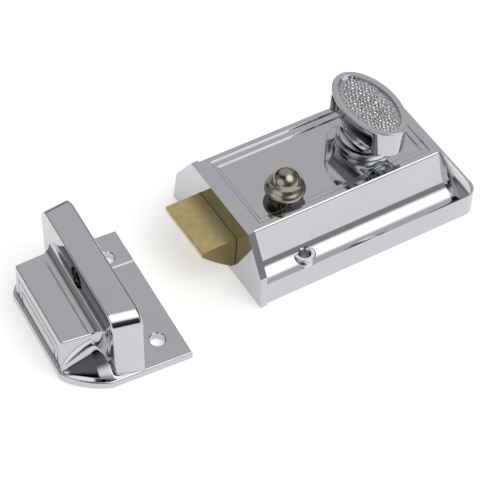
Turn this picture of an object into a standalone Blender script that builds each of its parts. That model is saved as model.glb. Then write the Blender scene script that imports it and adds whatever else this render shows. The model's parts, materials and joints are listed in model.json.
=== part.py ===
"""Rim night latch: a sprung brass bolt in a cast case, its turn knob and snib, and the loose staple.

Lengths are in metres. The latch is modelled from its own datum: X = 0 at the case's front face with
the bolt pointing to -X, Y = 0 at its centre line, and Z = 0 at the back that lies on the door.
"""

import math

import bmesh
import bpy

# Case
CASE_LENGTH = 0.0900
BAND_HALF = 0.0283            # half the width of the upright band round the base
BAND_HEIGHT = 0.0094
BAND_DRAFT = 0.0003
CASE_HEIGHT = 0.0265
COVE_RADIUS = 0.0076
FACE_LEAN = math.radians(12.5)
PLATEAU_END = 0.0778
END_BLOCK_START = 0.0820
END_BLOCK_TOP_END = 0.0887
# How the middle of the case runs on inside the end block: X, and the height it still reaches
RUN_OUT = ((0.0774, 0.0265), (0.0791, 0.0242), (0.0822, 0.0195))
END_HOLLOW_HALF = 0.0182
REAR_CORNER_RADIUS = 0.0050
FRONT_CORNER_RADIUS = 0.0020
WALL = 0.0022
FRONT_WALL = 0.0032
RIB_THICKNESS = 0.0026
RIB_HALF_WIDTHS = ((0.0290, 0.0), (0.0275, 0.0129), (0.0184, 0.0267))
SCREW_BOSS = (0.0200, 0.0235)
SCREW_BOSS_RADIUS = 0.0039
SCREW_BOSS_TOP = 0.0115
SCREW_HOLE_RADIUS = 0.0019
SPRING_WALL_START = 0.0430
SPRING_WALL_THICKNESS = 0.0020
SPRING_WALL_HALF = 0.0120
SPRING_WALL_BOTTOM = 0.0090

# Back plate and its screws
PLATE_LOW = 0.0016
PLATE_THICKNESS = 0.0014
PLATE_GAP = 0.0003
PLATE_HOLE_RADIUS = 0.0085
# Each pair of posts as X, half the distance between them in Y, and the height where they end in the shell
POSTS = ((0.0090, 0.0200, 0.0106), (0.0835, 0.0200, 0.0105))
POST_RADIUS = 0.0030
PLATE_SCREW_RADIUS = 0.0010
PLATE_SCREW_HEAD_RADIUS = 0.0021
PLATE_SCREW_HEAD_LOW = 0.0003
PLATE_SCREW_TIP = 0.0085

# Bolt
BOLT_THROW = 0.0135
BOLT_REAR = 0.0200
BOLT_HALF = 0.0120
BOLT_LOW = 0.0050
BOLT_HIGH = 0.0183
BOLT_NOSE = 0.0020
BOLT_BEVEL_END = -0.0013
BOLT_BEVEL_BULGE = 0.0004
BOLT_CLEARANCE = 0.0003
TAIL_STEP_START = 0.0110
TAIL_STEP_HEIGHT = 0.0082
TAIL_LOW = 0.0064
TAIL_THICKNESS = 0.0015
TAIL_SLOT_END = 0.0560
TAIL_FOOT_START = TAIL_STEP_START + 0.0003
TAIL_FOOT_Y = (-0.0080, 0.0110)
TAIL_BEND_X = (0.0250, 0.0290, 0.0390, 0.0450)
TAIL_ARM_Y = (0.0098, 0.0165, 0.0184)
RIVET_PLACES = ((0.0155, -0.0045), (0.0155, 0.0045))
RIVET_RADIUS = 0.0012
RIVET_HEAD_RADIUS = 0.0022
RIVET_HEAD = 0.0010
RIVET_END = 0.0092
SPRING_Y = 0.0074
SPRING_Z = 0.0130
SPRING_BORE_RADIUS = 0.0033
SPRING_BORE_END = 0.0100
SPRING_COIL_RADIUS = 0.0024
SPRING_WIRE_RADIUS = 0.00035
SPRING_TURNS = 12

# Knob, spindle and rollback cam, all on one axis
KNOB_X = 0.0585
BUSH_RADIUS = 0.0102
BUSH_FLANGE = 0.0010
BUSH_NECK_RADIUS = 0.0060
SEAT_GAP = 0.0001
RUNNING_GAP = 0.0003
KNOB_FOOT = 0.0279
KNOB_TOP = 0.0434
KNOB_HALF_LONG = 0.0168
KNOB_HALF_SHORT = 0.0099
KNOB_TURN = math.radians(3.1)  # how far the oval stands off square at rest
KNOB_HEAD_LOW = 0.0328
KNOB_FOOT_RADIUS = 0.0090
KNOB_RIM = 0.0023
KNOB_RECESS = 0.0010
# The foot, neck and head as (height, half-length, half-width, scoop), the scoop as a part of the half-width
KNOB_LEVELS = (
    (KNOB_FOOT, KNOB_FOOT_RADIUS, KNOB_FOOT_RADIUS, 0.0),
    (KNOB_FOOT + 0.0008, KNOB_FOOT_RADIUS, KNOB_FOOT_RADIUS, 0.0),
    (KNOB_FOOT + 0.0016, 0.0088, 0.0083, 0.05),
    (KNOB_FOOT + 0.0026, 0.0100, 0.0074, 0.06),
    (KNOB_FOOT + 0.0036, 0.0125, 0.0070, 0.08),
    (KNOB_HEAD_LOW - 0.0008, 0.0156, 0.0080, 0.25),
    (KNOB_HEAD_LOW, 0.0159, 0.0090, 0.38),
    (KNOB_HEAD_LOW + 0.0002, KNOB_HALF_LONG, KNOB_HALF_SHORT, 0.46),
    (KNOB_HEAD_LOW + 0.0030, KNOB_HALF_LONG, KNOB_HALF_SHORT, 0.42),
    (KNOB_HEAD_LOW + 0.0060, KNOB_HALF_LONG, KNOB_HALF_SHORT, 0.32),
    (KNOB_HEAD_LOW + 0.0085, KNOB_HALF_LONG, KNOB_HALF_SHORT, 0.12),
    (KNOB_HEAD_LOW + 0.0096, KNOB_HALF_LONG, KNOB_HALF_SHORT, 0.0),
    (KNOB_TOP - 0.0004, KNOB_HALF_LONG, KNOB_HALF_SHORT, 0.0),
    (KNOB_TOP, KNOB_HALF_LONG - 0.0004, KNOB_HALF_SHORT - 0.0004, 0.0),
)
SCOOP_EDGE = (0.5, 0.77)      # where the scoop starts to rise and where it ends, as parts of the half-length
SPINDLE_RADIUS = 0.0040
SPINDLE_LOW = 0.0134
SPINDLE_HIGH = 0.0400
CAM_LOW = 0.0086
CAM_HIGH = 0.0200
CAM_BORE_LOW = 0.0130
CAM_RADIUS = 0.0072
CAM_ARM_HIGH = 0.0110
CAM_ARM_HALF = 0.0030
CAM_CRANK = 0.0148            # from the knob's axis to the pin that pulls the tail
CAM_CRANK_ANGLE = math.radians(115)
CAM_DRIVE_PIN_RADIUS = 0.0015
CAM_DRIVE_PIN_LOW = 0.0058
CAM_DRIVE_TRAVEL_Y = 0.0014   # how far the drive pin moves along its slot in a turn
BAR_SLOT = (0.0080, 0.0022)
CROSS_PIN_RADIUS = 0.0009
CROSS_PIN_Z = 0.0165
CLIP_LOW = 0.0210
CLIP_THICKNESS = 0.0008
CLIP_RADIUS = 0.0062
CLIP_GROOVE_RADIUS = 0.0034

# Snib
SNIB_X = 0.0206
SNIB_Y = -0.0082
SNIB_TRAVEL = 0.0045          # towards +Y
SNIB_SKIRT_RADIUS = 0.0070
SNIB_SKIRT_LOW = 0.0284
SNIB_SKIRT_HIGH = 0.0300
SNIB_DOME_RADIUS = 0.0043
SNIB_DOME_Z = 0.0329
SNIB_WAIST_RADIUS = 0.0040
SNIB_STEM_RADIUS = 0.0020
SNIB_SPIGOT_RADIUS = 0.0015      # the stem's upper end, inside the button
SNIB_SPIGOT_TOP = 0.0310
SNIB_TENON_RADIUS = 0.0014       # the stem's lower end, through the slider
SLIDER_LOW = 0.0222
SLIDER_THICKNESS = 0.0015
SLIDER_BOX = ((0.0130, -0.0125), (0.0290, 0.0045))
SLIDER_LUG = 0.0189           # lowest point of the slider's lug, clear of the bolt
DETENT_STRIP = 0.0005
DETENT_NOSE_RADIUS = 0.0008
DETENT_NOTCH_RADIUS = 0.0012
DETENT_ENDS = (0.0050, 0.0060)   # how far the strip runs along Y each way from its nose

# Staple, in its own frame: U along the wall's normal towards the case, V across, U = 0 at the wall's face
STAPLE_ORIGIN = (-0.0467, -0.0054)
STAPLE_YAW = math.radians(-3.9)
STAPLE_HALF = 0.0294
STAPLE_PLATE = 0.0030
STAPLE_FLANGE = 0.0180
STAPLE_LEFT = -0.0248
STAPLE_LEFT_HALF = 0.0185
STAPLE_SHOULDER = -0.0105     # where the foot reaches its full width
STAPLE_WALL = 0.0103
STAPLE_WALL_LEAN = 0.0015     # how far the wall's foot stands out past its top, towards the case
STAPLE_WALL_DRAFT = 0.0017    # how much shorter the wall is at each end of its other face
STAPLE_HEIGHT = 0.0310
STAPLE_CORNER_RADIUS = 0.0058
BOX_LEFT = -0.0239
BOX_HALF = 0.0181
BOX_HEIGHT = 0.0175
# The box's sections from its left end to the wall: U, half-width on top, the hollow foot's top and half-width
BOX_SECTIONS = (
    (-0.0239, 0.0181, 0.0050, 0.0192),
    (-0.0142, 0.0189, 0.0110, 0.0262),
    (-0.0121, 0.0196, 0.0122, 0.0276),
    (-0.0107, 0.0211, 0.0132, 0.0284),
    (-0.0100, 0.0235, 0.0140, 0.0286),
)
BOX_FILLET = 0.0042
PAD_LENGTH = 0.0145
PAD_STEP = 0.0005
FLANGE_HOLE = (0.0100, 0.0195)
FLANGE_HOLE_RADIUS = 0.0026
WALL_HOLE_Z = 0.0236
WALL_HOLE_RADIUS = 0.0024
WALL_COUNTERBORE_RADIUS = 0.0040
WALL_COUNTERBORE_SEAT = -0.0070
POCKET = (-0.0193, -0.0040)
POCKET_HALF = 0.0135
POCKET_HEIGHT = 0.0145

PAST = 0.0010                 # how far a cutter runs past the face it opens
ROUND = 32                    # sides of a large round piece
SMALL_ROUND = 16
SMOOTH_ANGLE = math.radians(32)


# ---------------------------------------------------------------- helpers

def make_material(name, color, metallic, roughness):
    """A Principled material in one colour."""
    material = bpy.data.materials.new(name)
    material.use_nodes = True
    shader = material.node_tree.nodes["Principled BSDF"]
    shader.inputs["Base Color"].default_value = (*color, 1.0)
    shader.inputs["Metallic"].default_value = metallic
    shader.inputs["Roughness"].default_value = roughness
    material.diffuse_color = (*color, 1.0)
    return material


def add_empty(name, place, parent=None, turn=0.0):
    empty = bpy.data.objects.new(name, None)
    empty.location = place
    empty.rotation_euler = (0.0, 0.0, turn)
    empty.parent = parent
    bpy.context.scene.collection.objects.link(empty)
    return empty


def add_object(name, bm):
    """An object made from a bmesh, with its faces turned outwards."""
    bmesh.ops.recalc_face_normals(bm, faces=bm.faces)
    mesh = bpy.data.meshes.new(name)
    bm.to_mesh(mesh)
    bm.free()
    obj = bpy.data.objects.new(name, mesh)
    bpy.context.scene.collection.objects.link(obj)
    return obj


def finish_piece(obj, material, parent):
    """Gives a piece its material and parent, and shades its round faces smooth."""
    obj.data.materials.append(material)
    obj.data.shade_smooth()
    obj.data.set_sharp_from_angle(angle=SMOOTH_ANGLE)
    obj.parent = parent
    return obj


def boolean(target, other, operation):
    """Joins another shape to the target, or cuts it away, and hides that shape."""
    modifier = target.modifiers.new(other.name, "BOOLEAN")
    modifier.operation = operation
    modifier.object = other
    modifier.solver = "EXACT"
    other.hide_render = True
    other.display_type = "WIRE"
    return target


def follow(other, parent):
    other.parent = parent
    return other


def swap_axes(point, axis):
    """Turns (across, up, along) into XYZ for a shape that is extruded along the given axis."""
    across, up, along = point
    if axis == "X":
        return (along, across, up)
    if axis == "Y":
        return (across, along, up)
    return (across, up, along)


def loft(name, rings):
    """A closed body through rings of equal point counts, capped at both ends."""
    bm = bmesh.new()
    loops = [[bm.verts.new(point) for point in ring] for ring in rings]
    count = len(loops[0])
    for lower, upper in zip(loops, loops[1:]):
        for i in range(count):
            j = (i + 1) % count
            bm.faces.new((lower[i], lower[j], upper[j], upper[i]))
    bm.faces.new(loops[0][::-1])
    bm.faces.new(loops[-1])
    return add_object(name, bm)


def prism(name, outline, low, high, axis="Z"):
    """An outline extruded from low to high along an axis: (Y, Z) points along X, (X, Z) points along Y."""
    rings = [[swap_axes((a, b, along), axis) for a, b in outline] for along in (low, high)]
    return loft(name, rings)


def box(name, low, high):
    outline = [(low[0], low[1]), (high[0], low[1]), (high[0], high[1]), (low[0], high[1])]
    return prism(name, outline, low[2], high[2])


def arc(centre, radius, start, end, steps):
    """Points on an arc, angles in radians, both ends included."""
    points = []
    for i in range(steps + 1):
        angle = start + (end - start) * i / steps
        points.append((centre[0] + radius * math.cos(angle), centre[1] + radius * math.sin(angle)))
    return points


def circle(centre, radius, sides):
    return arc(centre, radius, 0.0, 2 * math.pi, sides)[:-1]


def cylinder(name, centre, radius, low, high, sides=SMALL_ROUND, axis="Z"):
    return prism(name, circle(centre, radius, sides), low, high, axis)


def turned(name, profile, centre, sides=ROUND):
    """A solid of revolution about a line parallel to Z, through (radius, height) pairs from bottom to top."""
    rings = []
    for radius, height in profile:
        rings.append([(x, y, height) for x, y in circle(centre, radius, sides)])
    return loft(name, rings)


def rounded_rectangle(low, high, radii, steps=6):
    """A rectangle's outline with its own radius at each corner: low-low, high-low, high-high, low-high."""
    corners = (
        (low[0] + radii[0], low[1] + radii[0], math.pi),
        (high[0] - radii[1], low[1] + radii[1], 1.5 * math.pi),
        (high[0] - radii[2], high[1] - radii[2], 0.0),
        (low[0] + radii[3], high[1] - radii[3], 0.5 * math.pi),
    )
    outline = []
    for (x, y, start), radius in zip(corners, radii):
        outline += arc((x, y), radius, start, start + 0.5 * math.pi, steps)
    return outline


def slot_outline(centre, half_width, half_length, along, steps=8):
    """A round-ended slot. half_length runs from the centre to the tip."""
    reach = half_length - half_width
    if along == "X":
        far = arc((centre[0] + reach, centre[1]), half_width, -0.5 * math.pi, 0.5 * math.pi, steps)
        near = arc((centre[0] - reach, centre[1]), half_width, 0.5 * math.pi, 1.5 * math.pi, steps)
    else:
        far = arc((centre[0], centre[1] + reach), half_width, 0.0, math.pi, steps)
        near = arc((centre[0], centre[1] - reach), half_width, math.pi, 2 * math.pi, steps)
    return far + near


def hull(name, points):
    """The convex hull of some points."""
    bm = bmesh.new()
    for point in points:
        bm.verts.new(point)
    result = bmesh.ops.convex_hull(bm, input=bm.verts)
    spare = [item for item in result["geom_interior"] if isinstance(item, bmesh.types.BMVert)]
    bmesh.ops.delete(bm, geom=spare, context="VERTS")
    return add_object(name, bm)


# ---------------------------------------------------------------- case

def side_profile(inset):
    """Half of the case's cross-section as (Y, Z), from the band's top edge up to the plateau's edge."""
    centre = (BAND_HALF - BAND_DRAFT, BAND_HEIGHT + COVE_RADIUS)
    radius = COVE_RADIUS + inset
    edge = BAND_HALF - BAND_DRAFT - inset
    start = math.pi + math.acos((centre[0] - edge) / radius)
    end = math.pi + FACE_LEAN
    points = arc(centre, radius, start, end, 10)
    top = CASE_HEIGHT - inset
    y, z = points[-1]
    points.append((y - (top - z) * math.tan(FACE_LEAN), top))
    return points


def mirrored(half):
    """A closed outline from its right half, mirrored across the centre line."""
    return half + [(-y, z) for y, z in reversed(half)]


def band_form(name, inset, low, front):
    """The upright band round the base, with its rounded corners."""
    height = BAND_HEIGHT - inset
    rings = []
    for z, shrink in ((low, 0.0), (height, BAND_DRAFT)):
        half = BAND_HALF - inset - shrink
        rear = CASE_LENGTH - inset - shrink
        corner = REAR_CORNER_RADIUS - inset
        nose = max(FRONT_CORNER_RADIUS - inset, 0.0004)
        outline = rounded_rectangle((front, -half), (rear, half), (nose, corner, corner, nose))
        rings.append([(x, y, z) for x, y in outline])
    return loft(name, rings)


def cove_form(name, inset, low, front, run_out=None):
    """The middle of the case: plateau, leaning faces and coves, reaching down into the band."""
    half = side_profile(inset)
    half = [(half[0][0], low)] + half
    y_top, z_top = half[-1]
    outlines = [(front, half)]
    for x, height in run_out or ((PLATEAU_END - inset, z_top),):
        edge = (y_top + (z_top - height) * math.tan(FACE_LEAN), height)
        outlines.append((x, half[:-1] + [edge]))
    return loft(name, [[(x, y, z) for y, z in mirrored(outline)] for x, outline in outlines])


def end_form(name, inset, low, half):
    """The block that closes the rear: it slopes from the plateau's rear edge out to the band."""
    plateau = side_profile(inset)[-1]
    height = BAND_HEIGHT - inset
    corner = REAR_CORNER_RADIUS - inset
    rear = END_BLOCK_TOP_END - inset
    points = []
    for side in (-1, 1):
        points.append((PLATEAU_END - inset, side * plateau[0], plateau[1]))
        points.append((PLATEAU_END - 2 * inset - PAST, side * plateau[0], plateau[1]))
        points.append((END_BLOCK_START - 2 * inset, side * half, height))
        for x, y in arc((rear - corner, half - corner), corner, 0.0, 0.5 * math.pi, 4):
            points.append((x, side * y, height))
            points.append((x, side * y, low))
        points.append((END_BLOCK_START - 2 * inset, side * half, low))
    return hull(name, points)


def rib_form():
    """The flat rib that frames the front face."""
    half = [(y, z) for y, z in RIB_HALF_WIDTHS]
    return prism("rib_form", mirrored(half), 0.0, RIB_THICKNESS, "X")


def make_case(material, parent):
    inner = WALL
    case = band_form("case_body", 0.0, 0.0, 0.0)
    boolean(case, cove_form("cove_form", 0.0, 0.5 * BAND_HEIGHT, 0.0004, RUN_OUT), "UNION")
    boolean(case, end_form("end_form", 0.0, 0.5 * BAND_HEIGHT, BAND_HALF - BAND_DRAFT), "UNION")
    boolean(case, rib_form(), "UNION")
    for side, y in (("near", -SCREW_BOSS[1]), ("far", SCREW_BOSS[1])):
        boss = cylinder(f"screw_boss_{side}", (SCREW_BOSS[0], y), SCREW_BOSS_RADIUS,
                        0.5 * BAND_HEIGHT, SCREW_BOSS_TOP, ROUND)
        boolean(case, boss, "UNION")
    boolean(case, band_form("band_hollow", inner, -PAST, FRONT_WALL), "DIFFERENCE")
    boolean(case, cove_form("cove_hollow", inner, -PAST, FRONT_WALL), "DIFFERENCE")
    boolean(case, end_form("end_hollow", inner, -PAST, END_HOLLOW_HALF), "DIFFERENCE")
    for side, sign in (("near", -1), ("far", 1)):
        boss = cylinder(f"screw_pillar_{side}", (SCREW_BOSS[0], sign * SCREW_BOSS[1]), SCREW_BOSS_RADIUS,
                        0.0, SCREW_BOSS_TOP - 0.0005, ROUND)
        boolean(case, boss, "UNION")
        for end, (x, y, top) in zip(("front", "rear"), POSTS):
            low = PLATE_LOW + PLATE_THICKNESS + PLATE_GAP
            post = cylinder(f"post_{end}_{side}", (x, sign * y), POST_RADIUS, low, top)
            boolean(case, post, "UNION")
    ceiling = CASE_HEIGHT - 0.5 * inner
    spring_wall = box("spring_wall", (SPRING_WALL_START, -SPRING_WALL_HALF, SPRING_WALL_BOTTOM),
                      (SPRING_WALL_START + SPRING_WALL_THICKNESS, SPRING_WALL_HALF, ceiling))
    boolean(case, spring_wall, "UNION")
    cut_case_openings(case)
    return finish_piece(case, material, parent)


def cut_case_openings(case):
    """The bolt's window, the screw holes, the post holes, the bush's hole and the snib's slot."""
    gap = BOLT_CLEARANCE
    window = box("bolt_window", (-PAST, -BOLT_HALF - gap, BOLT_LOW - gap),
                 (FRONT_WALL + PAST, BOLT_HALF + gap, BOLT_HIGH + gap))
    boolean(case, window, "DIFFERENCE")
    for side, sign in (("near", -1), ("far", 1)):
        hole = cylinder(f"screw_hole_{side}", (SCREW_BOSS[0], sign * SCREW_BOSS[1]), SCREW_HOLE_RADIUS,
                        -PAST, SCREW_BOSS_TOP + PAST, 24)
        boolean(case, hole, "DIFFERENCE")
        for end, (x, y, _) in zip(("front", "rear"), POSTS):
            hole = cylinder(f"post_hole_{end}_{side}", (x, sign * y), PLATE_SCREW_RADIUS + 0.0002,
                            0.0, PLATE_SCREW_TIP + 0.0004)
            boolean(case, hole, "DIFFERENCE")
    bush_hole = cylinder("bush_hole", (KNOB_X, 0.0), BUSH_NECK_RADIUS + SEAT_GAP, CASE_HEIGHT - 2 * WALL,
                         CASE_HEIGHT + PAST, ROUND)
    boolean(case, bush_hole, "DIFFERENCE")
    half_width = SNIB_STEM_RADIUS + RUNNING_GAP
    middle = (SNIB_X, SNIB_Y + 0.5 * SNIB_TRAVEL)
    outline = slot_outline(middle, half_width, half_width + 0.5 * SNIB_TRAVEL, "Y")
    boolean(case, prism("snib_slot", outline, CASE_HEIGHT - 2 * WALL, CASE_HEIGHT + PAST), "DIFFERENCE")


def make_back_plate(material, parent):
    """The plate inside the case's rim, clear of the pillars, with a round hole for the cylinder's bar."""
    half = BAND_HALF - WALL - PLATE_GAP
    front = FRONT_WALL + PLATE_GAP
    rear = CASE_LENGTH - WALL - PLATE_GAP
    corner = REAR_CORNER_RADIUS - WALL
    outline = rounded_rectangle((front, -half), (rear, half), (0.0005, corner, corner, 0.0005), 4)
    plate = prism("back_plate", outline, PLATE_LOW, PLATE_LOW + PLATE_THICKNESS)
    low = PLATE_LOW - PAST
    high = PLATE_LOW + PLATE_THICKNESS + PAST
    for side, sign in (("near", -1), ("far", 1)):
        notch_half = SCREW_BOSS_RADIUS + PLATE_GAP
        x, y = SCREW_BOSS
        notch = box(f"plate_notch_{side}", (x - notch_half, sign * (y - notch_half), low),
                    (x + notch_half, sign * (half + PAST), high))
        boolean(plate, notch, "DIFFERENCE")
        for end, (x, y, _) in zip(("front", "rear"), POSTS):
            hole = cylinder(f"plate_hole_{end}_{side}", (x, sign * y), PLATE_SCREW_RADIUS + 0.0003, low, high)
            boolean(plate, hole, "DIFFERENCE")
    bar_hole = cylinder("bar_hole", (KNOB_X, 0.0), PLATE_HOLE_RADIUS, low, high, ROUND)
    boolean(plate, bar_hole, "DIFFERENCE")
    return finish_piece(plate, material, parent)


def make_plate_screws(material, parent):
    """Four pan-head screws, each with a straight driver slot, holding the back plate to the posts."""
    number = 0
    for sign in (-1, 1):
        for x, y, _ in POSTS:
            number += 1
            under_head = PLATE_LOW - SEAT_GAP
            rim = PLATE_SCREW_HEAD_LOW + 0.0004
            profile = ((0.0015, PLATE_SCREW_HEAD_LOW), (PLATE_SCREW_HEAD_RADIUS, rim),
                       (PLATE_SCREW_HEAD_RADIUS, under_head), (PLATE_SCREW_RADIUS, under_head),
                       (PLATE_SCREW_RADIUS, PLATE_SCREW_TIP - 0.0007), (0.0004, PLATE_SCREW_TIP))
            screw = turned(f"back_plate_screw_{number}", profile, (x, sign * y), SMALL_ROUND)
            slot = box(f"driver_slot_{number}", (x - 0.0030, sign * y - 0.0003, 0.0),
                       (x + 0.0030, sign * y + 0.0003, PLATE_SCREW_HEAD_LOW + 0.0005))
            boolean(screw, slot, "DIFFERENCE")
            finish_piece(screw, material, parent)


# ---------------------------------------------------------------- bolt

def bolt_outline():
    """The bolt seen from its side, as (X, Z): flat towards the room, bevelled towards the door's back."""
    tip = -BOLT_THROW
    outline = [(BOLT_REAR, BOLT_HIGH), (tip + 0.0002, BOLT_HIGH), (tip, BOLT_HIGH - 0.0002)]
    start = (tip, BOLT_HIGH - BOLT_NOSE)
    end = (BOLT_BEVEL_END, BOLT_LOW)
    run = (end[0] - start[0], end[1] - start[1])
    length = math.hypot(*run)
    outward = (run[1] / length, -run[0] / length)
    steps = 10
    for i in range(steps + 1):
        t = i / steps
        bulge = BOLT_BEVEL_BULGE * 4 * t * (1 - t)
        x = start[0] + run[0] * t + outward[0] * bulge
        z = start[1] + run[1] * t + outward[1] * bulge
        outline.append((x, z))
    outline.append((TAIL_STEP_START, BOLT_LOW))
    outline.append((TAIL_STEP_START, TAIL_STEP_HEIGHT))
    outline.append((BOLT_REAR, TAIL_STEP_HEIGHT))
    return outline


def make_bolt(material, parent):
    bolt = prism("latch_bolt", bolt_outline(), -BOLT_HALF, BOLT_HALF, "Y")
    for number, y in enumerate((-SPRING_Y, SPRING_Y), 1):
        bore = cylinder(f"spring_bore_{number}", (y, SPRING_Z), SPRING_BORE_RADIUS, SPRING_BORE_END,
                        BOLT_REAR + PAST, 24, "X")
        boolean(bolt, follow(bore, parent), "DIFFERENCE")
    for number, place in enumerate(RIVET_PLACES, 1):
        hole = cylinder(f"rivet_hole_{number}", place, RIVET_RADIUS + 0.0002, TAIL_STEP_HEIGHT - PAST, 0.0095)
        boolean(bolt, follow(hole, parent), "DIFFERENCE")
    return finish_piece(bolt, material, parent)


def drive_pin_place():
    """Where the cam's drive pin stands at rest, from the case's datum."""
    return (KNOB_X + CAM_CRANK * math.cos(CAM_CRANK_ANGLE), CAM_CRANK * math.sin(CAM_CRANK_ANGLE))


def make_tail(material, parent):
    """An L-shaped plate: a foot under the bolt's rear, and an arm with the slot for the cam's drive pin."""
    inner, shoulder, outer = TAIL_ARM_Y
    foot_near, foot_far = TAIL_FOOT_Y
    bend = TAIL_BEND_X
    foot = [(TAIL_FOOT_START, foot_near), (bend[0], foot_near), (bend[1], inner), (TAIL_SLOT_END, inner),
            (TAIL_SLOT_END, outer), (bend[3], outer), (bend[2], shoulder), (TAIL_FOOT_START, foot_far)]
    tail = prism("bolt_tail", foot, TAIL_LOW, TAIL_LOW + TAIL_THICKNESS)
    low, high = TAIL_LOW - PAST, TAIL_LOW + TAIL_THICKNESS + PAST
    x, y = drive_pin_place()
    half_width = CAM_DRIVE_PIN_RADIUS + 0.00035
    centre = (x, y + 0.5 * CAM_DRIVE_TRAVEL_Y)
    outline = slot_outline(centre, half_width, half_width + 0.5 * CAM_DRIVE_TRAVEL_Y, "Y")
    boolean(tail, follow(prism("drive_slot", outline, low, high), parent), "DIFFERENCE")
    for number, place in enumerate(RIVET_PLACES, 1):
        hole = cylinder(f"tail_hole_{number}", place, RIVET_RADIUS + 0.0002, low, high)
        boolean(tail, follow(hole, parent), "DIFFERENCE")
    return finish_piece(tail, material, parent)


def make_rivets(material, parent):
    for number, place in enumerate(RIVET_PLACES, 1):
        under = TAIL_LOW - SEAT_GAP
        profile = ((RIVET_RADIUS, under - RIVET_HEAD), (RIVET_HEAD_RADIUS, under - 0.5 * RIVET_HEAD),
                   (RIVET_HEAD_RADIUS, under), (RIVET_RADIUS, under), (RIVET_RADIUS, RIVET_END))
        rivet = turned(f"tail_rivet_{number}", profile, place, SMALL_ROUND)
        finish_piece(rivet, material, parent)


def make_spring(name, centre, material, parent):
    """A compression spring along X, from the bottom of the bolt's bore to the case's spring wall."""
    start = SPRING_BORE_END + 0.0003 + SPRING_WIRE_RADIUS
    end = SPRING_WALL_START - 0.0003 - SPRING_WIRE_RADIUS
    per_turn, sides = 12, 5
    rings = []
    for i in range(SPRING_TURNS * per_turn + 1):
        angle = 2 * math.pi * i / per_turn
        along = start + (end - start) * i / (SPRING_TURNS * per_turn)
        ring = []
        for k in range(sides):
            turn = 2 * math.pi * k / sides
            radius = SPRING_COIL_RADIUS + SPRING_WIRE_RADIUS * math.cos(turn)
            ring.append((along + SPRING_WIRE_RADIUS * math.sin(turn), centre[0] + radius * math.cos(angle),
                         centre[1] + radius * math.sin(angle)))
        rings.append(ring)
    return finish_piece(loft(name, rings), material, parent)


# ---------------------------------------------------------------- knob, spindle and cam

def make_bush(material, parent):
    """The ring on the plateau, with a neck through it that carries the spindle."""
    low = CASE_HEIGHT - WALL
    seat = CASE_HEIGHT + SEAT_GAP
    top = CASE_HEIGHT + BUSH_FLANGE
    profile = ((BUSH_NECK_RADIUS, low), (BUSH_NECK_RADIUS, seat), (BUSH_RADIUS, seat),
               (BUSH_RADIUS, top - 0.0003), (BUSH_RADIUS - 0.0003, top))
    bush = turned("knob_bush", profile, (KNOB_X, 0.0))
    bore = cylinder("bush_bore", (KNOB_X, 0.0), SPINDLE_RADIUS + RUNNING_GAP, low - PAST, top + PAST, ROUND)
    boolean(bush, bore, "DIFFERENCE")
    return finish_piece(bush, material, parent)


def smooth_step(value):
    value = min(max(value, 0.0), 1.0)
    return value * value * (3 - 2 * value)


def knob_ring(height, half_long, half_short, scoop, sides=48):
    """A level oval of the knob, long along Y, pressed in on both flat sides by the scoop."""
    cos, sin = math.cos(KNOB_TURN), math.sin(KNOB_TURN)
    start, end = SCOOP_EDGE
    ring = []
    for i in range(sides):
        angle = 2 * math.pi * i / sides
        x = half_short * math.cos(angle)
        y = half_long * math.sin(angle)
        window = 1 - smooth_step((abs(y) / KNOB_HALF_LONG - start) / (end - start))
        x *= 1 - scoop * window
        ring.append((x * cos - y * sin, x * sin + y * cos, height))
    return ring


def make_knob(material, parent):
    """An oval head with finger scoops under its long sides, on a neck that flares into a round foot."""
    knob = loft("turn_knob", [knob_ring(*level) for level in KNOB_LEVELS])
    panel = [knob_ring(height, KNOB_HALF_LONG - KNOB_RIM, KNOB_HALF_SHORT - KNOB_RIM, 0.0)
             for height in (KNOB_TOP - KNOB_RECESS, KNOB_TOP + PAST)]
    boolean(knob, follow(loft("knob_recess", panel), parent), "DIFFERENCE")
    bore = cylinder("knob_bore", (0.0, 0.0), SPINDLE_RADIUS + SEAT_GAP, KNOB_FOOT - PAST,
                    SPINDLE_HIGH + 0.0002, ROUND)
    boolean(knob, follow(bore, parent), "DIFFERENCE")
    return finish_piece(knob, material, parent)


def make_spindle(material, parent):
    """A plain shaft with a groove for its circlip and a cross hole for the cam's pin."""
    radius = SPINDLE_RADIUS
    groove_low = CLIP_LOW - 0.0001
    groove_high = CLIP_LOW + CLIP_THICKNESS + 0.0001
    profile = ((radius - 0.0003, SPINDLE_LOW), (radius, SPINDLE_LOW + 0.0003), (radius, groove_low),
               (CLIP_GROOVE_RADIUS, groove_low), (CLIP_GROOVE_RADIUS, groove_high), (radius, groove_high),
               (radius, SPINDLE_HIGH))
    spindle = turned("knob_spindle", profile, (0.0, 0.0))
    hole = cylinder("spindle_cross_hole", (0.0, CROSS_PIN_Z), CROSS_PIN_RADIUS + 0.0001, -0.0060, 0.0060,
                    SMALL_ROUND, "Y")
    boolean(spindle, follow(hole, parent), "DIFFERENCE")
    return finish_piece(spindle, material, parent)


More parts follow.
